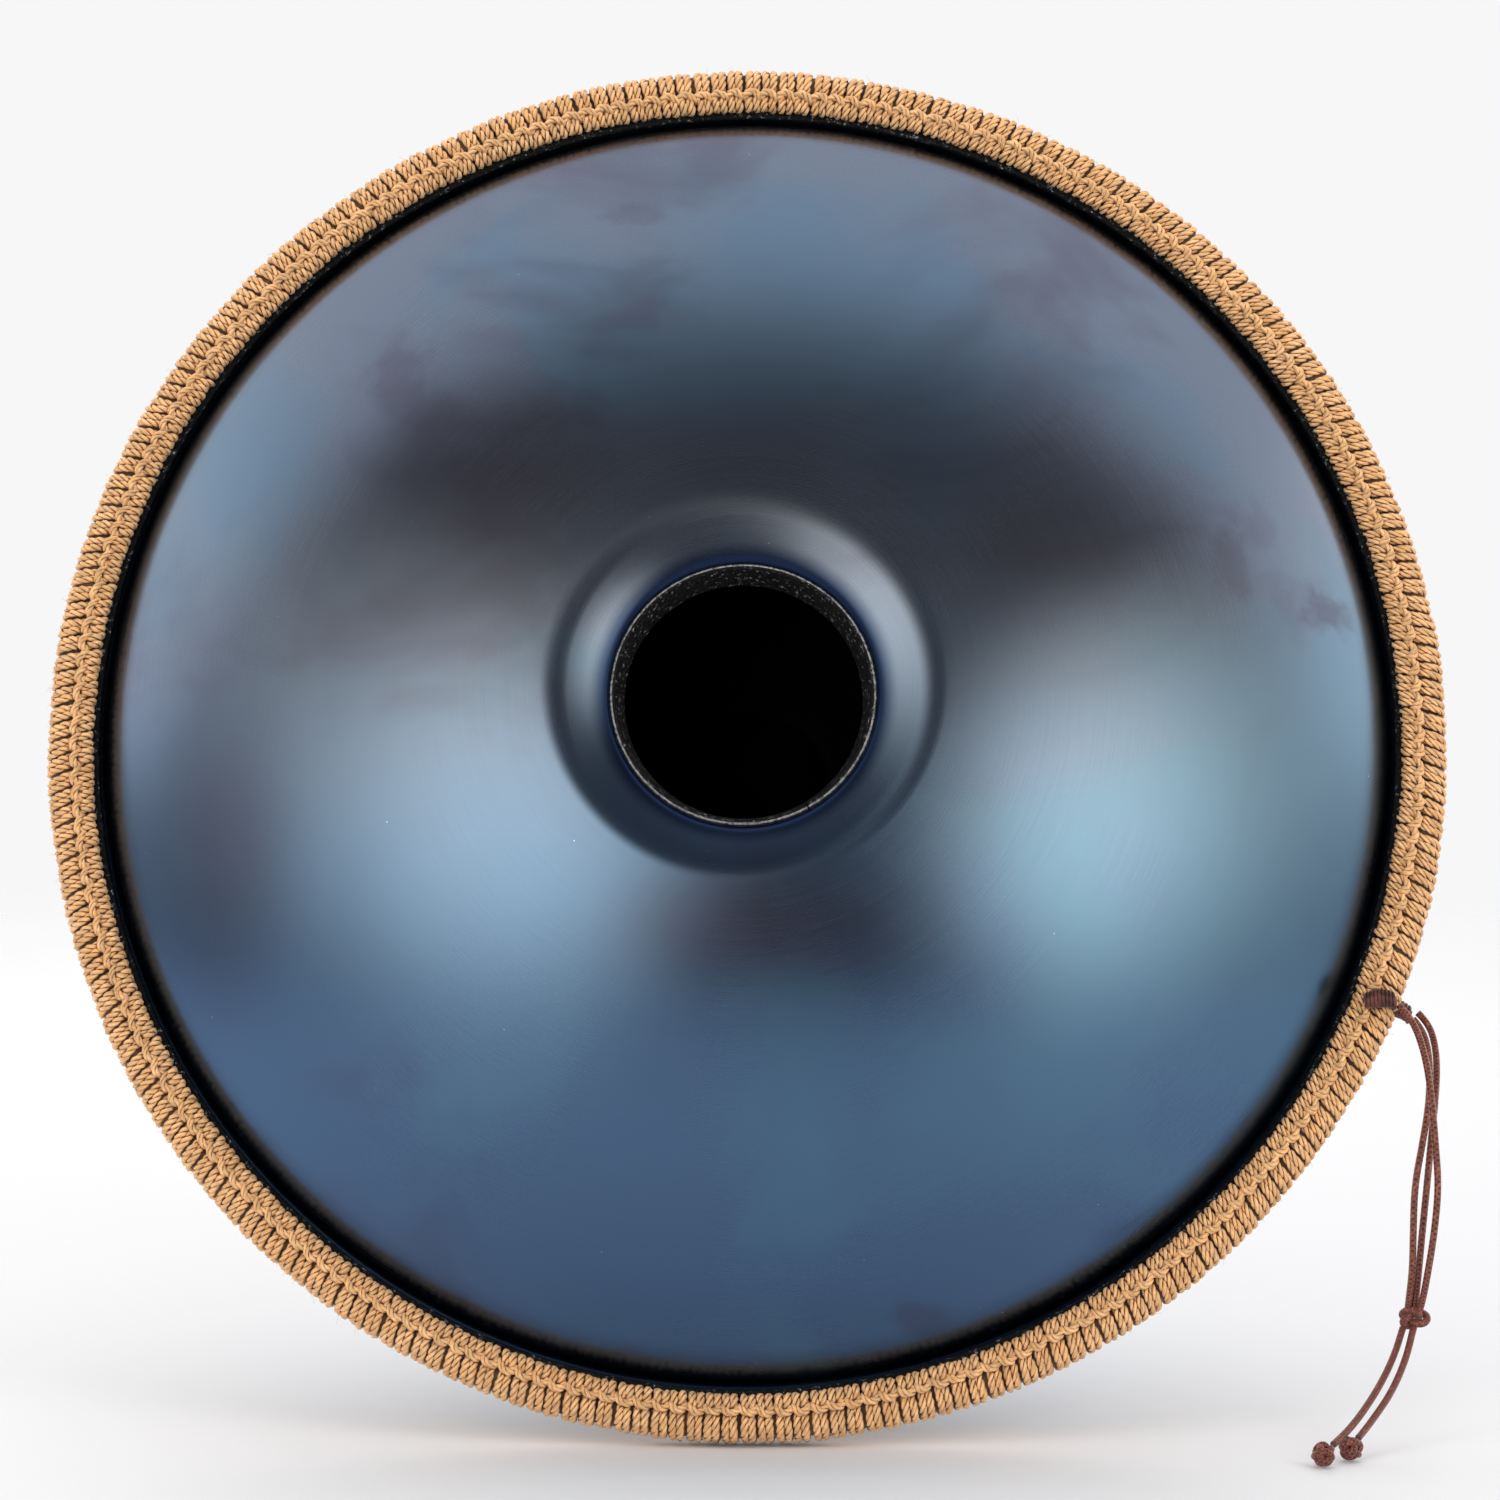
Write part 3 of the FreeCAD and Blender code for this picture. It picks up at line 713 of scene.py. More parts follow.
@dataclass(frozen=True)
class TrimFinish:
    """Black pressed-grain trim."""

    effects: Effects
    name: str
    base: tuple = (0.005, 0.0055, 0.007, 1)
    worn: tuple = (0.42, 0.42, 0.42, 1)
    edge_line_grey: tuple = (0.62, 0.61, 0.59, 1)
    scale: float = 900.0
    cut_edge: float = 0.0

    def material(self) -> bpy.types.Material:
        """The trim's finish.

        Returns:
            The material.
        """
        made = bpy.data.materials.new(self.name)
        made.use_nodes = True
        made.node_tree.nodes.clear()
        b = Bench(made.node_tree)
        place = b.node("ShaderNodeTexCoord").outputs["Object"]
        grain = self.effects.grain.place(b, {"Vector": place, "Scale": self.scale}).outputs[0]
        wear = b.span(b.noise(place, 520.0, 3.0, 0.6), 0.56, 0.72)
        colour = b.mix(b.math("MULTIPLY", wear, grain), self.base, self.worn)
        # a light grey broken line along the port trim's cut edge
        if self.cut_edge:
            local = b.node(
                "ShaderNodeMapping",
                {"Vector": place, "Location": PAN.centre, "Rotation": (PAN.tilt, 0, 0)},
                vector_type="TEXTURE",
            ).outputs[0]
            middle = b.vector("ADD", local, (0, PORT_LEAN, 0))
            flat = b.vector("MULTIPLY", middle, (1, 1, 0))
            radius = b.node("ShaderNodeVectorMath", {0: flat}, operation="LENGTH").outputs[1]
            high = b.span(b.node("ShaderNodeSeparateXYZ", {0: local}).outputs[2], 0.0984, 0.0990)
            line = b.math("MULTIPLY", b.span(radius, self.cut_edge, self.cut_edge + 0.0003), high)
            line = b.math("MULTIPLY", line, b.span(b.noise(place, 650.0, 2.0, 0.5), 0.34, 0.6, 0.3, 1.0))
            colour = b.mix(line, colour, self.edge_line_grey)
        rough = b.span(grain, 0.0, 1.0, 0.75, 0.48)
        shader = b.node(
            "ShaderNodeBsdfPrincipled",
            {
                "Base Color": colour, "Roughness": rough, "Specular IOR Level": 0.25,
                "Normal": b.bump(grain, 0.00025, 0.9),
            },
        )
        b.node("ShaderNodeOutputMaterial", {0: shader.outputs[0]})
        return made


@dataclass(frozen=True)
class JuteFinish:
    """Golden jute fibre with lighter and darker streaks, darkened towards brown in its creases by ambient occlusion:
    painted shade.
    """

    effects: Effects
    name: str = "jute_twine"
    light: tuple = (0.99, 0.61, 0.30, 1)
    mid: tuple = (0.84, 0.44, 0.17, 1)
    # the dark brown of darker fibres and of the painted shade in the creases
    dark: tuple = (0.20, 0.06, 0.011, 1)

    def material(self) -> bpy.types.Material:
        """The twine's finish.

        Returns:
            The material.
        """
        made = bpy.data.materials.new(self.name)
        made.use_nodes = True
        made.node_tree.nodes.clear()
        b = Bench(made.node_tree)
        coords = b.node("ShaderNodeTexCoord").outputs
        fibres = self.effects.fibres.place(
            b, {"UV": coords["UV"], "Place": coords["Object"], "Along": 5.0, "Around": 9.0},
        ).outputs
        colour = b.mix(b.span(fibres[0], 0.36, 0.62), self.mid, self.light)
        colour = b.mix(b.span(fibres[0], 0.40, 0.22, 0.0, 0.45), colour, self.dark)
        tone = b.span(fibres[1], 0.3, 0.7, 0.82, 1.12)
        colour = b.node(
            "ShaderNodeMix", {0: 1.0, 6: colour, 7: b.node("ShaderNodeCombineColor", {0: tone, 1: tone, 2: tone}).outputs[0]},
            data_type="RGBA", blend_type="MULTIPLY",
        ).outputs[2]
        # painted shade: ambient occlusion darkens the creases between plies and stitches towards the dark brown
        occlusion_shade = b.node("ShaderNodeAmbientOcclusion", {"Distance": 0.003}, samples=5).outputs["AO"]
        colour = b.mix(b.span(occlusion_shade, 0.12, 0.62), self.dark, colour)
        shader = b.node(
            "ShaderNodeBsdfPrincipled",
            {
                "Base Color": colour, "Roughness": 0.72, "Normal": b.bump(fibres[0], 0.00025, 0.7),
                "Sheen Weight": 0.25, "Sheen Roughness": 0.4,
            },
        )
        b.node("ShaderNodeOutputMaterial", {0: shader.outputs[0]})
        return made


@dataclass(frozen=True)
class SatinFinish:
    """Ribbed brown satin cord, with painted shade in the grooves of its weave."""

    effects: Effects
    name: str = "satin_cord"
    base: tuple = (0.21, 0.052, 0.036, 1)
    light: tuple = (0.55, 0.17, 0.11, 1)
    # the dark of the painted shade in the weave's grooves
    dark: tuple = (0.035, 0.009, 0.007, 1)
    ribs: float = 70.0
    strands: float = 3.0

    def material(self) -> bpy.types.Material:
        """The cord's finish.

        Returns:
            The material.
        """
        made = bpy.data.materials.new(self.name)
        made.use_nodes = True
        made.node_tree.nodes.clear()
        b = Bench(made.node_tree)
        coords = b.node("ShaderNodeTexCoord").outputs
        parts = b.node("ShaderNodeSeparateXYZ", {0: coords["UV"]}).outputs
        along = b.math("MULTIPLY", parts[0], self.ribs * 2 * math.pi)
        around = b.math("MULTIPLY", parts[1], self.strands * 2 * math.pi)
        left = b.math("SINE", b.math("ADD", along, around))
        right = b.math("SINE", b.math("SUBTRACT", along, around))
        weave = b.math("MAXIMUM", left, right)
        level = b.span(weave, -0.4, 1.0)
        fibres = self.effects.fibres.place(
            b, {"UV": coords["UV"], "Place": coords["Object"], "Along": 60.0, "Around": 6.0},
        ).outputs
        # painted shade: the grooves of the weave take the dark colour
        colour = b.mix(level, self.dark, self.base)
        colour = b.mix(b.math("MULTIPLY", b.span(fibres[0], 0.5, 0.7), 0.55), colour, self.light)
        shader = b.node(
            "ShaderNodeBsdfPrincipled",
            {
                "Base Color": colour, "Roughness": 0.38, "Normal": b.bump(level, 0.00018, 0.8),
                "Sheen Weight": 0.3, "Sheen Roughness": 0.3,
            },
        )
        b.node("ShaderNodeOutputMaterial", {0: shader.outputs[0]})
        return made


# ---------------------------------------------------------------- the pan's pieces


PORT_LEAN = 0.0028
"""How far the hand-formed port sits below the pan's axis, in metres."""


@dataclass
class PressedShells:
    """The two pressed shells, between whose flanges the glue line lies, in millimetres."""

    steel: bpy.types.Material
    inside: bpy.types.Material
    glue: bpy.types.Material
    thickness: float = 1.2
    face: float = 1.35
    flange: float = 272.0
    root: float = 259.0
    root_bend: float = 3.0
    roll: float = 45.0
    roll_slope: float = 70.0
    ring: float = 175.0
    fields: int = 8

    def _dome(self, apex: float) -> tuple[float, float]:
        """The dome that reaches an apex over the steeper roll at its foot.

        Args:
            apex: the dome's height over the glue line.

        Returns:
            The dome's radius in millimetres and the slope where the roll takes over, in degrees.
        """
        steep = math.radians(self.roll_slope)
        across = self.root - (self.roll + self.root_bend) * math.sin(steep)
        rise = apex - self.face - (self.roll + self.root_bend) * (1 - math.cos(steep))
        slope = 2 * math.atan2(rise, across)
        return self.roll + across / math.sin(slope), math.degrees(slope)

    def _dome_line(self, apex: float, stop: float, steps: int) -> SectionLine:
        """The flange, its root, the roll and the dome, up to a slope.

        Args:
            apex: the dome's height over the glue line.
            stop: the slope at which the dome ends, in degrees.
            steps: how many edges the dome has.

        Returns:
            The section line.
        """
        dome, slope = self._dome(apex)
        line = SectionLine(self.flange, self.face, 180.0)
        line.run(self.flange - self.root, 2).bend(self.root_bend, -self.roll_slope, 8)
        return line.bend(self.roll, self.roll_slope - slope, 10).bend(dome, slope - stop, steps)

    def bottom(self) -> bpy.types.Object:
        """The port side, with its rolled neck.

        Returns:
            The shell.
        """
        line = self._dome_line(116.0, 12.40, 56)
        line.bend(22.0, 29.40, 12).bend(100.0, 7.0, 4).run(0.95).bend(7.9, 54.0, 10).run(12.0, 3)
        work = line.turned(SHELL_STEPS)
        for vertex in work.verts:
            radius = math.hypot(vertex.co.x, vertex.co.y) / MM
            if radius < 80.0:
                share = min(1.0, (80.0 - radius) / 22.0)
                vertex.co.y -= PORT_LEAN * share * share * (3 - 2 * share)
        self._thicken(work)
        piece = finished(work, "bottom_pressing", PAN.facing(Side.PORT), self.steel)
        return self._dress(piece, "bottom_shell")

    def top(self) -> bpy.types.Object:
        """The playing side, with its centre note and a ring of dimpled fields.

        Returns:
            The shell.
        """
        dome, _ = self._dome(118.0)
        stop = math.degrees(math.asin(98.0 / dome))
        line = self._dome_line(118.0, stop, 76)
        inner = 98.0 - 40.0 * (98.0 / dome - math.sin(math.radians(5.0)))
        flat = math.degrees(math.asin(math.sin(math.radians(5.0)) - (inner - 38.0) / 900.0))
        rise = 38.0 - 12.0 * (math.sin(math.radians(28.0)) - math.sin(math.radians(flat)))
        line.bend(40.0, stop - 5.0, 6).bend(900.0, 5.0 - flat, 10)
        line.bend(12.0, flat - 28.0, 10).bend(rise / math.sin(math.radians(28.0)), 28.0, 18)
        work = line.turned(352)
        for vertex in work.verts:
            vertex.co += self._press(vertex.co)
        self._thicken(work)
        piece = finished(work, "top_pressing", PAN.facing(Side.PLAYING), self.steel)
        return self._dress(piece, "top_shell")

    def _press(self, place: Vector) -> Vector:
        """How far the ring's fields and dimples press one point of the dome inwards.

        Args:
            place: the point, in metres.

        Returns:
            The move.
        """
        radius = math.hypot(place.x, place.y)
        if not 0.100 < radius < 0.252:
            return Vector()
        step = 2 * math.pi / self.fields
        index = math.floor(math.atan2(place.y, place.x) / step) % self.fields
        around = step * (index + 0.5)
        dome, _ = self._dome(118.0)
        tilt = math.asin(self.ring / dome)
        out = Vector((math.sin(tilt) * math.cos(around), math.sin(tilt) * math.sin(around), math.cos(tilt)))
        across = Vector((-math.sin(around), math.cos(around), 0.0))
        centre = Vector((0, 0, (118.0 - dome) * MM)) + out * dome * MM
        away = (place - centre) / MM
        u = away.dot(across)
        v = away.dot(out.cross(across))
        rank = 2 * index if index < self.fields / 2 else 2 * (self.fields - index) - 1
        depth = 3.2 - rank * 1.5 / (self.fields - 1)
        field_depth = depth + v * v / 1400.0 - (u * u + v * v) / (2 * dome)
        dimple_depth = 2.2 - u * u / 84.0 - v * v / 184.0
        return out * (-(soft_step(field_depth, 0.6) + soft_step(dimple_depth, 0.2)) * MM)

    def _thicken(self, work: bmesh.types.BMesh) -> None:
        """Gives the sheet its thickness, inwards."""
        bmesh.ops.recalc_face_normals(work, faces=work.faces[:])
        if max(work.faces, key=lambda f: f.calc_center_median().z).normal.z < 0:
            bmesh.ops.reverse_faces(work, faces=work.faces[:])
        made = bmesh.ops.solidify(work, geom=work.faces[:], thickness=self.thickness * MM)
        for face in (f for f in made["geom"] if isinstance(f, bmesh.types.BMFace)):
            face.material_index = 1

    def _dress(self, piece: bpy.types.Object, node: str) -> bpy.types.Object:
        """Puts the shell on the body in place of its CAD node, with its inner finish."""
        piece.data.materials.append(self.inside)
        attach(piece, "root")
        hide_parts(node)
        return piece


def soft_step(value: float, ease: float) -> float:
    """The greater of a value and zero, with its corner eased.

    Args:
        value: the value.
        ease: how wide the easing is.

    Returns:
        The eased value, never below zero.
    """
    if value < -ease:
        return 0.0
    if value > ease:
        return value
    return (value + ease) ** 2 / (4 * ease)


@dataclass
class EdgeTrims:
    """The U-shaped trims on the rim and on the port's neck, in millimetres."""

    rim_finish: bpy.types.Material
    port_finish: bpy.types.Material
    joint_angle: float = -60.5

    def rim(self) -> bpy.types.Object:
        """The trim pushed over the two flanges.

        Returns:
            The trim.
        """
        line = SectionLine(258.9, 1.6, 90.0)
        line.run(1.25).bend(0.9, -90, 3).run(12.6, 2).bend(1.2, -90, 4).run(5.1)
        line.bend(1.2, -90, 4).run(12.6, 2).bend(0.9, -90, 3).run(1.25)
        line.heading = 0.0
        line.run(13.15, 2)
        line.heading = 90.0
        line.run(3.2, 2)
        line.heading = 180.0
        line.run(13.15, 2)
        piece = finished(line.turned(SHELL_STEPS), "rim_trim", PAN.matrix, self.rim_finish)
        return self._dress(piece, "rim_edge_trim")

    def port(self) -> bpy.types.Object:
        """The trim on the neck's end, with the joint where its two ends meet.

        Returns:
            The trim.
        """
        # the neck's bend turns round this point, and the neck leans in by 12 degrees below it
        line = SectionLine(49.15, 100.5, -118.0)
        line.bend(9.75, 16, 4).run(12.3, 4).bend(1.2, 90, 4).run(2.6, 1).bend(1.2, 90, 4)
        line.run(11.5, 4)
        line.heading = 168.0
        line.run(1.7)
        line.heading = -102.0
        line.run(11.0, 3)
        line.heading = 168.0
        line.run(1.5)
        line.heading = 78.0
        line.run(11.6, 3).bend(7.95, -16, 4).close()
        work = line.turned(200, gap=0.7, start=self.joint_angle + 0.35)
        bmesh.ops.translate(work, verts=work.verts[:], vec=(0, -PORT_LEAN, 0))
        piece = finished(work, "port_trim", PAN.matrix, self.port_finish)
        return self._dress(piece, "port_edge_trim")

    def _dress(self, piece: bpy.types.Object, node: str) -> bpy.types.Object:
        """Puts a trim on the body in place of its CAD node."""
        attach(piece, "root")
        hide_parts(node)
        return piece


@dataclass
class TwineStrand:
    """One strand of a stitch, by its route through (radius, around, height), in millimetres."""

    route: list[tuple[float, float, float]]
    side: Vector
    lay: float = 9.0
    ply: float = 0.90

    def plies(self, wander: random.Random) -> list[list[Vector]]:
        """The routes of the strand's three twisted plies.

        Args:
            wander: the source of its small irregularities.

        Returns:
            One list of points in metres for each ply.
        """
        jitter = [Vector([wander.uniform(-0.22, 0.22) for _ in range(3)]) for _ in self.route]
        controls = [(Vector(place) + move) * MM for place, move in zip(self.route, jitter)]
        line = centreline(controls, 3)
        phase = wander.uniform(0, 2 * math.pi)
        tracks: list[list[Vector]] = [[], [], []]
        run = 0.0
        for i, place in enumerate(line):
            ahead = (line[min(i + 1, len(line) - 1)] - line[max(i - 1, 0)]).normalized()
            first = ahead.cross(self.side).normalized()
            second = ahead.cross(first)
            if i:
                run += (place - line[i - 1]).length
            for j in range(3):
                turn = phase + 2 * math.pi * (run / (self.lay * MM) + j / 3)
                reach = self.ply * 1.08 * MM
                tracks[j].append(place + (first * math.cos(turn) + second * math.sin(turn)) * reach)
        return tracks


@dataclass
class JuteBinding:
    """The knotted twine round the rim: wraps over both edges, with a chain between them."""

    finish: bpy.types.Material
    core_shade_finish: bpy.types.Material
    stitches: int = 245
    sectors: int = 7
    variants: int = 7
    fibres: int = 900

    @property
    def pitch(self) -> float:
        """The angle from stitch to stitch, in radians."""
        return 2 * math.pi / self.stitches

    def _stitch(self, wander: random.Random) -> list[list[Vector]]:
        """The plies of one stitch, laid at angle 0.

        Args:
            wander: the source of its small irregularities.

        Returns:
            The route of each ply, in metres.
        """
        squeeze = wander.uniform(0.93, 1.04)
        lean = wander.uniform(-0.35, 0.35)
        axial = Vector((0, 1, 0))
        upward = Vector((0, 0, 1))
        tracks: list[list[Vector]] = []
        for face in (1, -1):
            for way in (-1, 1):
                wrap = [
                    (267.0, way * 1.5, 4.6), (264.2, way * 1.55, 4.4), (262.1, way * 1.6, 5.3),
                    (262.1, way * 1.6, 7.0), (263.7, way * 1.55, 7.8), (265.4, way * 1.45, 7.9),
                    (267.0, way * 1.2, 7.0), (268.6, way * 1.0, 5.6), (270.0, way * 0.8, 4.8),
                ]
                placed = [(r, t * squeeze + lean, z * face) for r, t, z in wrap]
                tracks += TwineStrand(placed, axial).plies(wander)
            chain = [
                (265.6, -4.3, 6.0), (266.2, -3.6, 8.0), (267.2, -2.3, 9.0), (268.4, -0.8, 9.3),
                (268.7, 0.8, 9.3), (267.9, 2.4, 8.9), (266.7, 3.6, 8.0), (266.1, 4.4, 6.0),
            ]
            placed = [(r, t + lean, z * face) for r, t, z in chain]
            tracks += TwineStrand(placed, upward, lay=8.0, ply=0.80).plies(wander)
        for way in (-1, 1):
            over = [
                (266.6, way * 0.9, 4.8), (268.4, way * 1.1, 6.7), (271.2, way * 1.35, 7.9),
                (274.4, way * 1.45, 8.0), (277.0, way * 1.45, 6.4), (277.8, way * 1.4, 3.6),
                (277.8, way * 1.35, 1.1),
            ]
            path = over + [(r, t, -z) for r, t, z in reversed(over)]
            placed = [(r, t * squeeze * 1.02 + lean, z) for r, t, z in path]
            tracks += TwineStrand(placed, axial).plies(wander)
        return tracks

    def _variant(self, index: int) -> bpy.types.Mesh:
        """One of the stitch's irregular forms, as a mesh at angle 0."""
        tracks = self._stitch(random.Random(100 + index))
        curve = nurbs_curve("stitch", tracks, 0.90 * MM, sides=0, resolution=1, order=2)
        curve.data.use_fill_caps = False
        mesh = bpy.data.meshes.new_from_object(curve)
        data = curve.data
        bpy.data.objects.remove(curve)
        bpy.data.curves.remove(data)
        return mesh

    def wraps(self) -> list[bpy.types.Object]:
        """The stitches, in sectors of the ring.

        Returns:
            One object for each sector.
        """
        forms = [self._variant(i) for i in range(self.variants)]
        each = self.stitches // self.sectors
        rounds = each // self.variants
        pieces = []
        for sector in range(self.sectors):
            work = bmesh.new()
            for i, form in enumerate(forms):
                one = bmesh.new()
                one.from_mesh(form)
                bmesh.ops.rotate(
                    one, verts=one.verts[:], cent=(0, 0, 0),
                    matrix=Matrix.Rotation((sector * each + i) * self.pitch, 3, "Z"),
                )
                bmesh.ops.spin(
                    one, geom=one.verts[:] + one.edges[:] + one.faces[:], cent=(0, 0, 0),
                    axis=(0, 0, 1), dvec=(0, 0, 0), steps=rounds - 1, use_duplicate=True,
                    angle=self.variants * self.pitch * (rounds - 1),
                )
                copy = bpy.data.meshes.new("copy")
                one.to_mesh(copy)
                one.free()
                work.from_mesh(copy)
                bpy.data.meshes.remove(copy)
            self._settle(work)
            piece = finished(work, f"jute_wraps_{sector + 1}", PAN.matrix, self.finish)
            pieces.append(self._dress(piece))
        for form in forms:
            bpy.data.meshes.remove(form)
        return pieces

    @staticmethod
    def _settle(work: bmesh.types.BMesh) -> None:
        """Lets the stitches hang a little and makes each place a little different."""
        for vertex in work.verts:
            place = vertex.co
            radius = math.hypot(place.x, place.y)
            around = Vector((-place.y, place.x, 0)) / radius
            droop = -place.x / radius * 0.30 * (radius - 0.269)
            uneven = noise.noise_vector(place * 160.0) * 0.0004 + noise.noise_vector(place * 45.0) * 0.0005
            vertex.co += around * droop + uneven

    def core(self) -> bpy.types.Object:
        """The inner turns of the twine, which show in the gaps, with a near-black finish as painted shade.

        Returns:
            The core.
        """
        line = SectionLine(264.2, 3.3, 90.0)
        line.run(2.0).bend(1.6, -90, 4).run(8.0, 2).bend(3.6, -90, 5).run(6.6, 2)
        line.bend(3.6, -90, 5).run(8.0, 2).bend(1.6, -90, 4).run(2.0)
        line.heading = 0.0
        line.run(9.8, 2)
        line.heading = 90.0
        line.run(6.6, 2)
        line.heading = 180.0
        line.run(9.8, 2)
        piece = finished(line.turned(SHELL_STEPS), "shaded_jute_core", PAN.matrix, self.core_shade_finish)
        return self._dress(piece)

    def fuzz(self) -> bpy.types.Object:
        """Loose fibre ends along the binding.

        Returns:
            The curve object.
        """
        wander = random.Random(7)
        routes = []
        for _ in range(self.fibres):
            inner = wander.random() < 0.4
            angle = wander.uniform(0, 360) if inner else wander.uniform(-60, 240)
            radius = wander.uniform(263.4, 265.0) if inner else wander.uniform(276.0, 279.4)
            height = wander.uniform(5.0, 8.0) if inner else wander.uniform(-6.0, 7.0)
            start = Vector((radius, math.radians(angle), height))
            out = -1.0 if inner else 1.0
            step = Vector((out * wander.uniform(0.2, 0.8), wander.uniform(-1, 1), wander.uniform(-0.2, 0.6)))
            curl = Vector([wander.uniform(-0.5, 0.5) for _ in range(3)])
            length = wander.uniform(0.35, 1.0)
            route = []
            for k in range(4):
                r = start.x + step.x * k * length
                a = math.degrees(start.y) + step.y * k * length * 0.2
                h = start.z + step.z * k * length
                route.append(PAN.point(r, a, h))
                step += curl * 0.6
            routes.append(route)
        piece = nurbs_curve("jute_fuzz", routes, 0.05 * MM, sides=0, resolution=2)
        piece.data.materials.append(self.finish)
        return self._dress(piece)

    def _dress(self, piece: bpy.types.Object) -> bpy.types.Object:
        """Puts a piece of the binding on the body in place of the CAD node."""
        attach(piece, "root")
        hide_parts("jute_binding")
        return piece


class TieCord(Enum):
    """The free cords of the satin tie."""

    FRONT = "tie_strand_front"
    BACK_INNER = "tie_strand_back_inner"
    BACK_OUTER = "tie_strand_back_outer"
    TAIL_LEFT = "tie_tail_left"
    TAIL_RIGHT = "tie_tail_right"


@dataclass
class SatinTie:
    """The satin cord tied to the binding: two coils, three strands, a knot and two tails."""

    finish: bpy.types.Material
    coil_finish: bpy.types.Material
    diameter: float = 2.8
    routes: dict = field(default_factory=lambda: {
        TieCord.FRONT: [
            (256.6, 32.4, 168.8), (261.2, 31.2, 164.0), (264.9, 29.8, 156.0), (267.7, 28.0, 145.0),
            (269.4, 25.6, 131.0), (270.6, 22.6, 114.5), (271.6, 19.8, 98.5), (269.6, 16.4, 80.5),
            (267.0, 13.2, 66.5), (264.6, 11.2, 54.4), (263.4, 11.4, 51.0),
        ],
        TieCord.BACK_INNER: [
            (265.0, 53.6, 160.2), (268.2, 51.6, 156.6), (270.2, 47.0, 149.4), (270.4, 41.6, 140.0),
            (269.4, 36.0, 128.5), (266.4, 30.6, 114.0), (262.9, 25.6, 98.5), (261.9, 20.6, 81.5),
            (261.3, 16.4, 66.5), (259.6, 13.6, 54.4), (259.2, 13.2, 51.0),
        ],
        TieCord.BACK_OUTER: [
            (267.0, 55.4, 162.6), (271.0, 54.2, 158.8), (273.4, 50.0, 151.0), (273.6, 44.6, 141.0),
            (272.2, 39.0, 129.0), (270.0, 33.0, 114.0), (268.0, 27.8, 98.0), (265.8, 22.6, 81.5),
            (264.0, 18.2, 66.5), (262.4, 14.6, 54.6), (261.8, 14.2, 51.2),
        ],
        TieCord.TAIL_LEFT: [
            (257.2, 11.4, 44.6), (256.2, 10.6, 41.7), (254.0, 7.2, 36.2), (250.0, 1.0, 29.4),
            (244.4, -7.6, 22.4), (237.4, -17.4, 15.4), (230.6, -26.4, 10.2), (225.8, -32.6, 7.8),
        ],
        TieCord.TAIL_RIGHT: [
            (261.4, 11.4, 44.8), (260.6, 10.4, 42.2), (258.4, 6.0, 35.6), (254.8, 0.0, 28.4),
            (250.0, -6.8, 21.4), (244.4, -13.6, 15.6), (239.4, -19.6, 10.8), (236.4, -23.2, 8.4),
        ],
    })

    def make(self) -> list[bpy.types.Object]:
        """Makes the knots and then the strands between them.

        Returns:
            Every piece of the tie.
        """
        front, back = self.coils()
        gather = self.gather()
        left, right = self.buttons()
        ends = {
            TieCord.FRONT: [front, gather], TieCord.BACK_INNER: [back], TieCord.BACK_OUTER: [],
            TieCord.TAIL_LEFT: [left], TieCord.TAIL_RIGHT: [right],
        }
        strands = [self._strand(which) for which, knots in ends.items()]
        return [front, back, gather, left, right, *strands]

    def _strand(self, which: TieCord) -> bpy.types.Object:
        """One free strand or tail.

        Args:
            which: the strand.

        Returns:
            The curve object.
        """
        route = [Vector(place) * MM for place in self.routes[which]]
        piece = nurbs_curve(which.value + "_cord", [route], self.diameter / 2 * MM, sides=4, resolution=10)
        piece.data.materials.append(self.finish)
        line = centreline(route, 10)
        return self._dress(piece, which.value)

    def coil(self, name: str, node: str, start: Vector, end: Vector, turns: int, cord: float) -> bpy.types.Object:
        """A barrel of close turns wound along the line between two points.

        Args:
            name: the piece's name.
            node: the CAD node that it stands for.
            start: the barrel's first end, in metres.
            end: its other end.
            turns: how many turns it has.
            cord: the wound cord's diameter, in millimetres.

        Returns:
            The coil.
        """
        work = bmesh.new()
        axis = end - start
        rise = axis.length - cord * MM
        bmesh.ops.create_circle(work, cap_ends=False, radius=cord / 2 * MM, segments=10)
        bmesh.ops.rotate(work, cent=(0, 0, 0), verts=work.verts[:], matrix=Matrix.Rotation(math.pi / 2, 3, "X"))
        bmesh.ops.translate(work, verts=work.verts[:], vec=((3.5 - cord / 2) * MM, 0, cord / 2 * MM))
        steps = 24 * turns
        bmesh.ops.spin(
            work, geom=work.verts[:] + work.edges[:], cent=(0, 0, 0), axis=(0, 0, 1),
            dvec=(0, 0, rise / steps), angle=2 * math.pi * turns, steps=steps, use_duplicate=False,
        )
        bmesh.ops.holes_fill(work, edges=[e for e in work.edges if e.is_boundary], sides=0)
        inner = bmesh.ops.create_cone(
            work, cap_ends=True, segments=16, radius1=2.3 * MM, radius2=2.3 * MM, depth=axis.length - MM,
        )
        bmesh.ops.translate(work, verts=inner["verts"], vec=(0, 0, axis.length / 2))
        bmesh.ops.recalc_face_normals(work, faces=work.faces[:])
        place = Matrix.Translation(start) @ axis.to_track_quat("Z", "Y").to_matrix().to_4x4()
        upward = place.to_3x3().inverted() @ Vector((0, 0, 1))
        for vertex in work.verts:
            share = 2 * vertex.co.z / axis.length - 1
            vertex.co += upward * (1.4 - 2.0 * share * share) * MM
        return self._dress(finished(work, name, place, self.coil_finish), node)

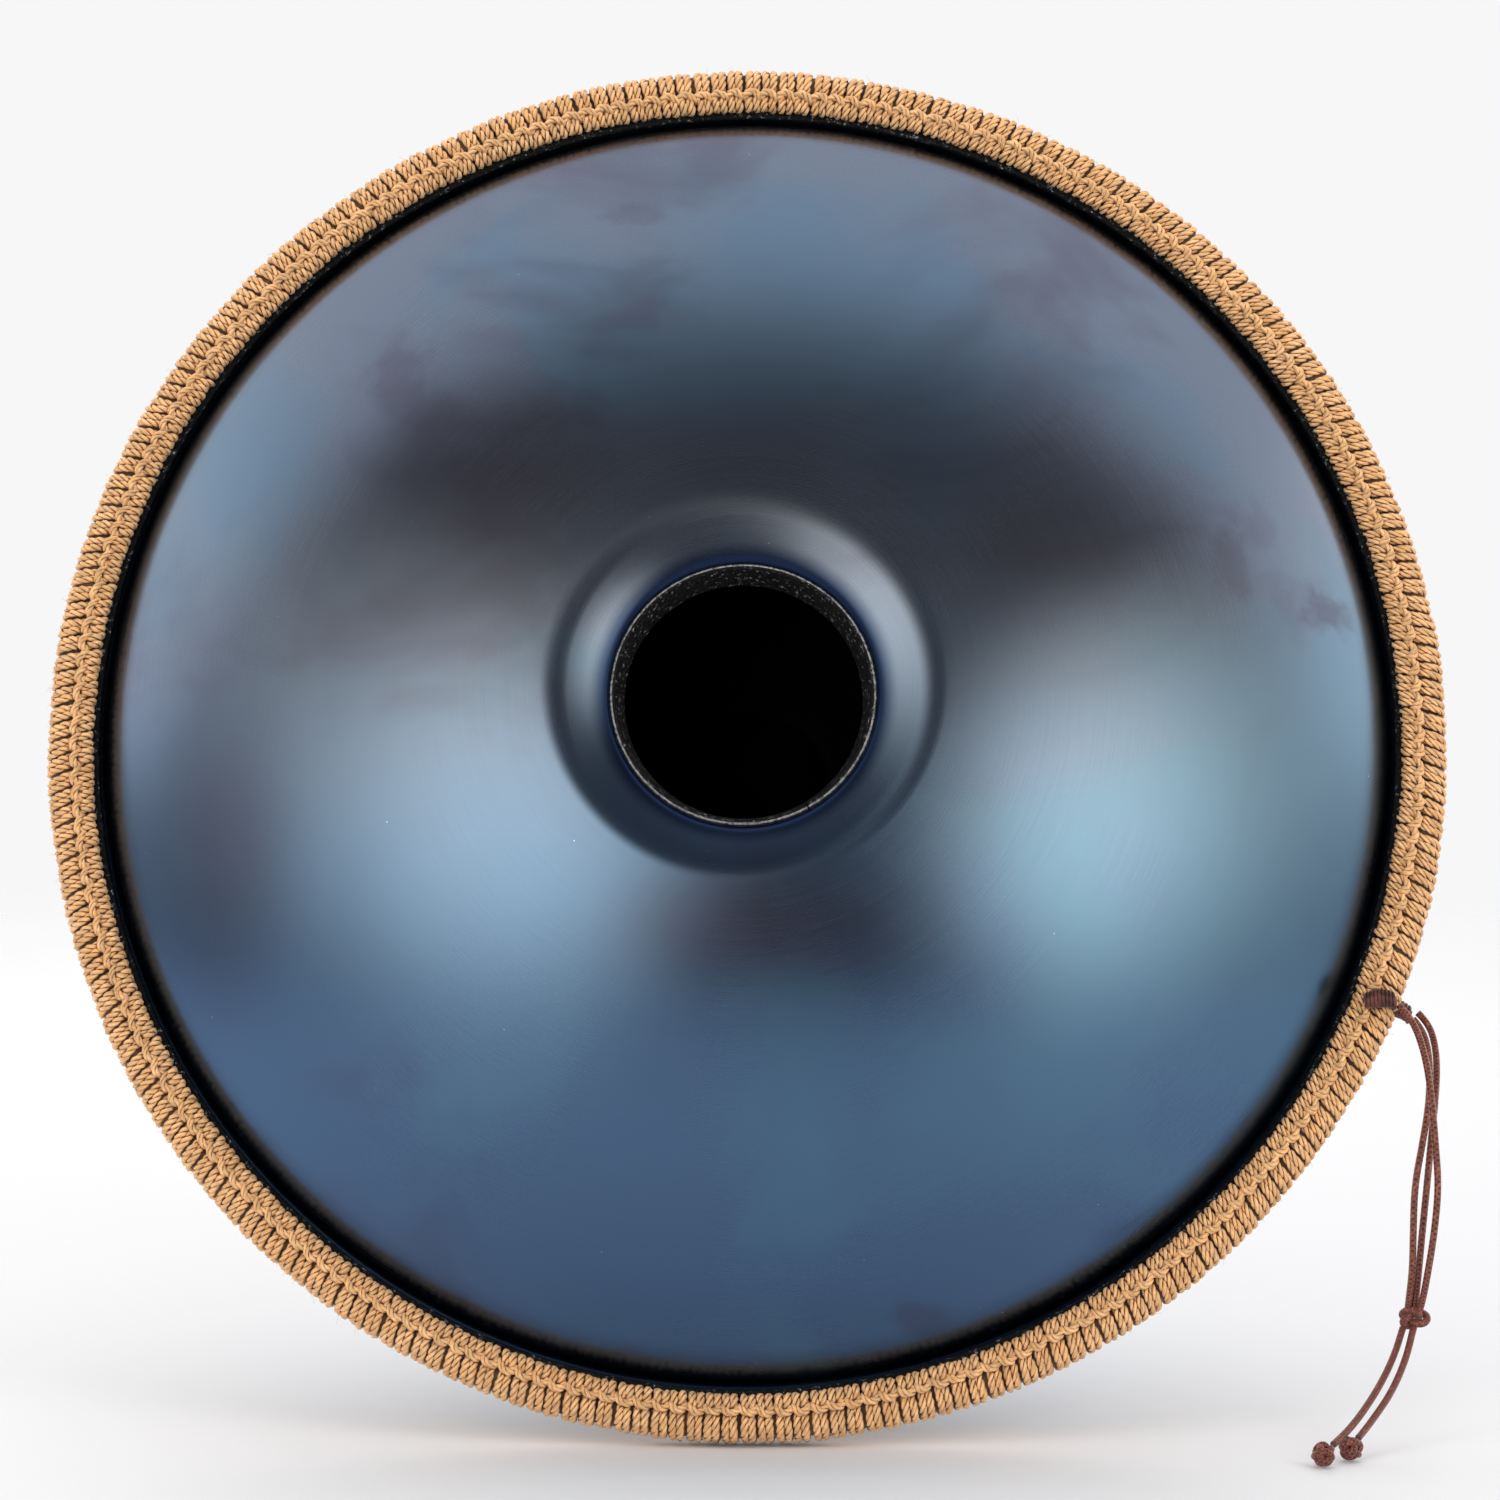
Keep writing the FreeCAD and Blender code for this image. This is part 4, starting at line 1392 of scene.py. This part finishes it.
    def coils(self) -> list[bpy.types.Object]:
        """The coils on the binding's two faces.

        Returns:
            The front one and the back one.
        """
        front = self.coil(
            "front_coil", "front_coil_knot", PAN.point(265.5, -23.8, 12.4),
            PAN.point(277.8, -22.7, 12.4), 8, 1.6,
        )
        back = self.coil(
            "back_coil", "back_coil_knot", PAN.point(273.5, -22.6, -12.4),
            PAN.point(286.5, -22.5, -12.0), 8, 1.6,
        )
        return [front, back]

    def gather(self) -> bpy.types.Object:
        """The knot that gathers the strands, one cord laid over and under itself.

        Returns:
            The knot.
        """
        centre = (Vector(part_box("gather_knot")[0]) + Vector(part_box("gather_knot")[1])) / 2
        route = []
        for i in range(24):
            turn = 2 * math.pi * i / 24
            reach = 3.3 + 1.7 * math.cos(3 * turn)
            spot = Vector((reach * math.cos(2 * turn) * 1.15, 2.0 * math.sin(3 * turn), reach * math.sin(2 * turn) * 0.72))
            route.append(centre + spot * MM)
        piece = nurbs_curve("gather_knot_cord", [route], 1.5 * MM, sides=4, resolution=4, closed=True, order=4)
        piece.data.materials.append(self.finish)
        return self._dress(piece, "gather_knot")

    def buttons(self) -> list[bpy.types.Object]:
        """The button knots at the tails' ends.

        Returns:
            The left one and the right one.
        """
        pieces = []
        for side, twist in (("left", 0.4), ("right", 1.3)):
            low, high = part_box(f"button_knot_{side}")
            centre = (Vector(low) + Vector(high)) / 2
            route = []
            leads, bights, steps = 3, 4, 60
            for i in range(steps):
                turn = 2 * math.pi * leads * i / steps
                level = 0.95 * math.cos(bights * turn / leads)
                reach = 3.35 + 0.42 * math.sin(2 * bights * turn / leads)
                spot = Vector((
                    math.cos(turn) * math.cos(level), math.sin(turn) * math.cos(level), math.sin(level),
                )) * reach
                spot.rotate(Matrix.Rotation(twist, 3, "X") @ Matrix.Rotation(twist * 0.7, 3, "Y"))
                route.append(centre + spot * MM)
            piece = nurbs_curve(
                f"button_knot_{side}_cord", [route], 1.35 * MM, sides=4, resolution=3, closed=True, order=4,
            )
            piece.data.materials.append(self.finish)
            pieces.append(self._dress(piece, f"button_knot_{side}"))
        return pieces

    def _dress(self, piece: bpy.types.Object, node: str) -> bpy.types.Object:
        """Puts a piece of the tie on the body in place of its CAD node."""
        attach(piece, "root")
        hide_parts(node)
        return piece


# ---------------------------------------------------------------- the studio


@dataclass
class Studio:
    """The floor, the lights and the camera, in metres and degrees."""

    target: Vector = field(default_factory=lambda: PAN.centre)

    def camera(self) -> None:
        """Sets the camera level with the pan's upper part."""
        data = bpy.data.cameras.new("studio_camera")
        data.lens = 119.98
        data.sensor_width = 36.0
        data.clip_end = 50.0
        made = bpy.data.objects.new("studio_camera", data)
        made.location = (0.02606, -1.92003, 0.42255)
        made.rotation_euler = (math.radians(85.5), 0.0, math.radians(0.708))
        bpy.context.scene.collection.objects.link(made)
        bpy.context.scene.camera = made

    def softbox(
        self, name: str, azimuth: float, height: float, distance: float, size: tuple[float, float],
        power: float, colour: tuple = (1, 1, 1),
    ) -> None:
        """A rectangular light that faces the pan.

        Args:
            name: the light's name.
            azimuth: the angle from straight ahead of the port, positive to the right.
            height: its angle above the horizon.
            distance: how far it stands from the pan.
            size: its width and height.
            power: its power, in watts.
            colour: its colour.
        """
        data = bpy.data.lights.new(name, "AREA")
        data.shape = "RECTANGLE"
        data.size, data.size_y = size
        data.energy = power
        data.color = colour
        made = bpy.data.objects.new(name, data)
        side, up = math.radians(azimuth), math.radians(height)
        way = Vector((math.sin(side) * math.cos(up), -math.cos(side) * math.cos(up), math.sin(up)))
        made.location = self.target + way * distance
        made.rotation_euler = way.to_track_quat("Z", "Y").to_euler()
        made.visible_glossy = False
        bpy.context.scene.collection.objects.link(made)

    def lights(self) -> None:
        """Two tall softboxes in front, one overhead and one behind."""
        self.softbox("softbox_right", 45, 24, 2.2, (0.9, 1.1), 10)
        self.softbox("softbox_left", -48, 24, 2.2, (0.9, 1.1), 7)
        self.softbox("softbox_top", 180, 75, 2.0, (2.6, 1.6), 14)
        self.softbox("softbox_back", 180, 30, 2.6, (1.6, 1.2), 9)

    def surround(self) -> None:
        """A white surround for the eye, even light for cloth and soft lobes for the steel."""
        world = bpy.data.worlds.new("studio_surround")
        bpy.context.scene.world = world
        world.use_nodes = True
        world.node_tree.nodes.clear()
        b = Bench(world.node_tree)
        way = b.node("ShaderNodeTexCoord").outputs["Generated"]
        x, y, z = b.node("ShaderNodeSeparateXYZ", {0: way}).outputs
        upright = b.vector("MULTIPLY", way, (0, 1, 1))
        reach = b.node("ShaderNodeVectorMath", {0: upright}, operation="LENGTH").outputs[1]
        over = b.math("DIVIDE", y, b.math("MAXIMUM", reach, 0.01))
        ceiling = b.math("MULTIPLY", b.span(over, -0.30, 0.08), b.span(z, 0.0, 0.2))
        ceiling = b.math("MULTIPLY", ceiling, b.span(over, 0.92, 0.72, 0.25, 1.0))
        level = b.math("MULTIPLY_ADD", ceiling, 0.85, 0.13)
        level = b.math("ADD", level, b.span(x, 0.90, 1.0, 0.0, 0.3))
        level = b.math("ADD", level, b.span(x, -0.74, -0.95, 0.0, 0.2))
        lobes = 0.0
        for centre_x, centre_z, wide, tall, power in (
            (-0.52, 0.14, 0.34, 0.38, 2.6), (0.70, 0.12, 0.23, 0.32, 3.0),
        ):
            across = b.math("DIVIDE", b.math("SUBTRACT", x, centre_x), wide)
            up = b.math("DIVIDE", b.math("SUBTRACT", z, centre_z), tall)
            far = b.math("SQRT", b.math("ADD", b.math("POWER", across, 2.0), b.math("POWER", up, 2.0)))
            lobes = b.math("ADD", lobes, b.span(far, 1.6, 0.25, 0.0, power))
        studio = b.node("ShaderNodeCombineColor", {
            0: b.math("MULTIPLY_ADD", lobes, 1.12, level), 1: b.math("ADD", lobes, level),
            2: b.math("MULTIPLY_ADD", lobes, 0.77, level),
        }).outputs[0]
        rays = b.node("ShaderNodeLightPath").outputs
        colour = b.mix(rays["Is Glossy Ray"], (0.82, 0.82, 0.83, 1), studio)
        colour = b.mix(rays["Is Camera Ray"], colour, (0.93, 0.93, 0.94, 1))
        back = b.node("ShaderNodeBackground", {0: colour, 1: 1.0})
        b.node("ShaderNodeOutputWorld", {0: back.outputs[0]})
        world.cycles.sampling_method = "NONE"

    def floor(self) -> None:
        """A pale round floor that fades into the surround."""
        work = bmesh.new()
        bmesh.ops.create_circle(work, cap_ends=True, segments=96, radius=3.0)
        made = bpy.data.materials.new("studio_floor")
        made.use_nodes = True
        made.node_tree.nodes.clear()
        b = Bench(made.node_tree)
        place = b.node("ShaderNodeTexCoord").outputs["Object"]
        moved = b.vector("SUBTRACT", place, (0.0, 0.55, 0.0))
        reach = b.node("ShaderNodeVectorMath", {0: moved}, operation="LENGTH").outputs[1]
        shown = b.span(reach, 0.75, 1.75, 1.0, 0.0)
        mirrored = b.node("ShaderNodeLightPath").outputs["Is Glossy Ray"]
        shown = b.math("MULTIPLY", shown, b.span(mirrored, 0.0, 1.0, 1.0, 0.62))
        shader = b.node(
            "ShaderNodeBsdfPrincipled",
            {"Base Color": (0.86, 0.86, 0.87, 1), "Roughness": 0.6, "Alpha": shown},
        )
        b.node("ShaderNodeOutputMaterial", {0: shader.outputs[0]})
        finished(work, "floor", Matrix.Identity(4), made)

    def set_up(self) -> None:
        """Builds the whole studio."""
        self.camera()
        self.lights()
        self.surround()
        self.floor()
        scene = bpy.context.scene
        scene.view_settings.view_transform = "Standard"


def main() -> None:
    """Builds the studio and then the pan, piece by piece."""
    Studio().set_up()
    effects = Effects()
    steel = SteelFinish(effects).material()
    inside = InnerSteelFinish(effects).material()
    trim = TrimFinish(effects, "rim_trim_grain").material()
    jute = JuteFinish(effects).material()
    # the core's finish is many times darker than the jute: painted shade in the gaps between the stitches
    core = JuteFinish(
        effects, "shaded_jute_core", light=(0.20, 0.11, 0.045, 1), mid=(0.09, 0.045, 0.018, 1), dark=(0.02, 0.01, 0.004, 1),
    ).material()
    satin = SatinFinish(effects).material()
    coiled = SatinFinish(
        effects, "satin_coil", base=(0.10, 0.027, 0.02, 1), light=(0.25, 0.08, 0.056, 1), ribs=40.0, strands=2.0,
    ).material()

    shells = PressedShells(steel, inside, trim)
    edging = TrimFinish(effects, "port_trim_grain", cut_edge=0.0498).material()
    trims = EdgeTrims(trim, edging)
    binding = JuteBinding(jute, core)
    tie = SatinTie(satin, coiled)
    pieces = tie.make()
    pieces += [shells.bottom(), shells.top(), trims.rim(), trims.port()]
    pieces += [binding.core(), binding.fuzz()] + binding.wraps()
    for piece in pieces:
        log.info("%s built", piece.name)
    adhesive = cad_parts["flange_adhesive"]
    adhesive.data.materials.clear()
    adhesive.data.materials.append(AdhesiveFinish().material())


if __name__ == "__main__":
    main()
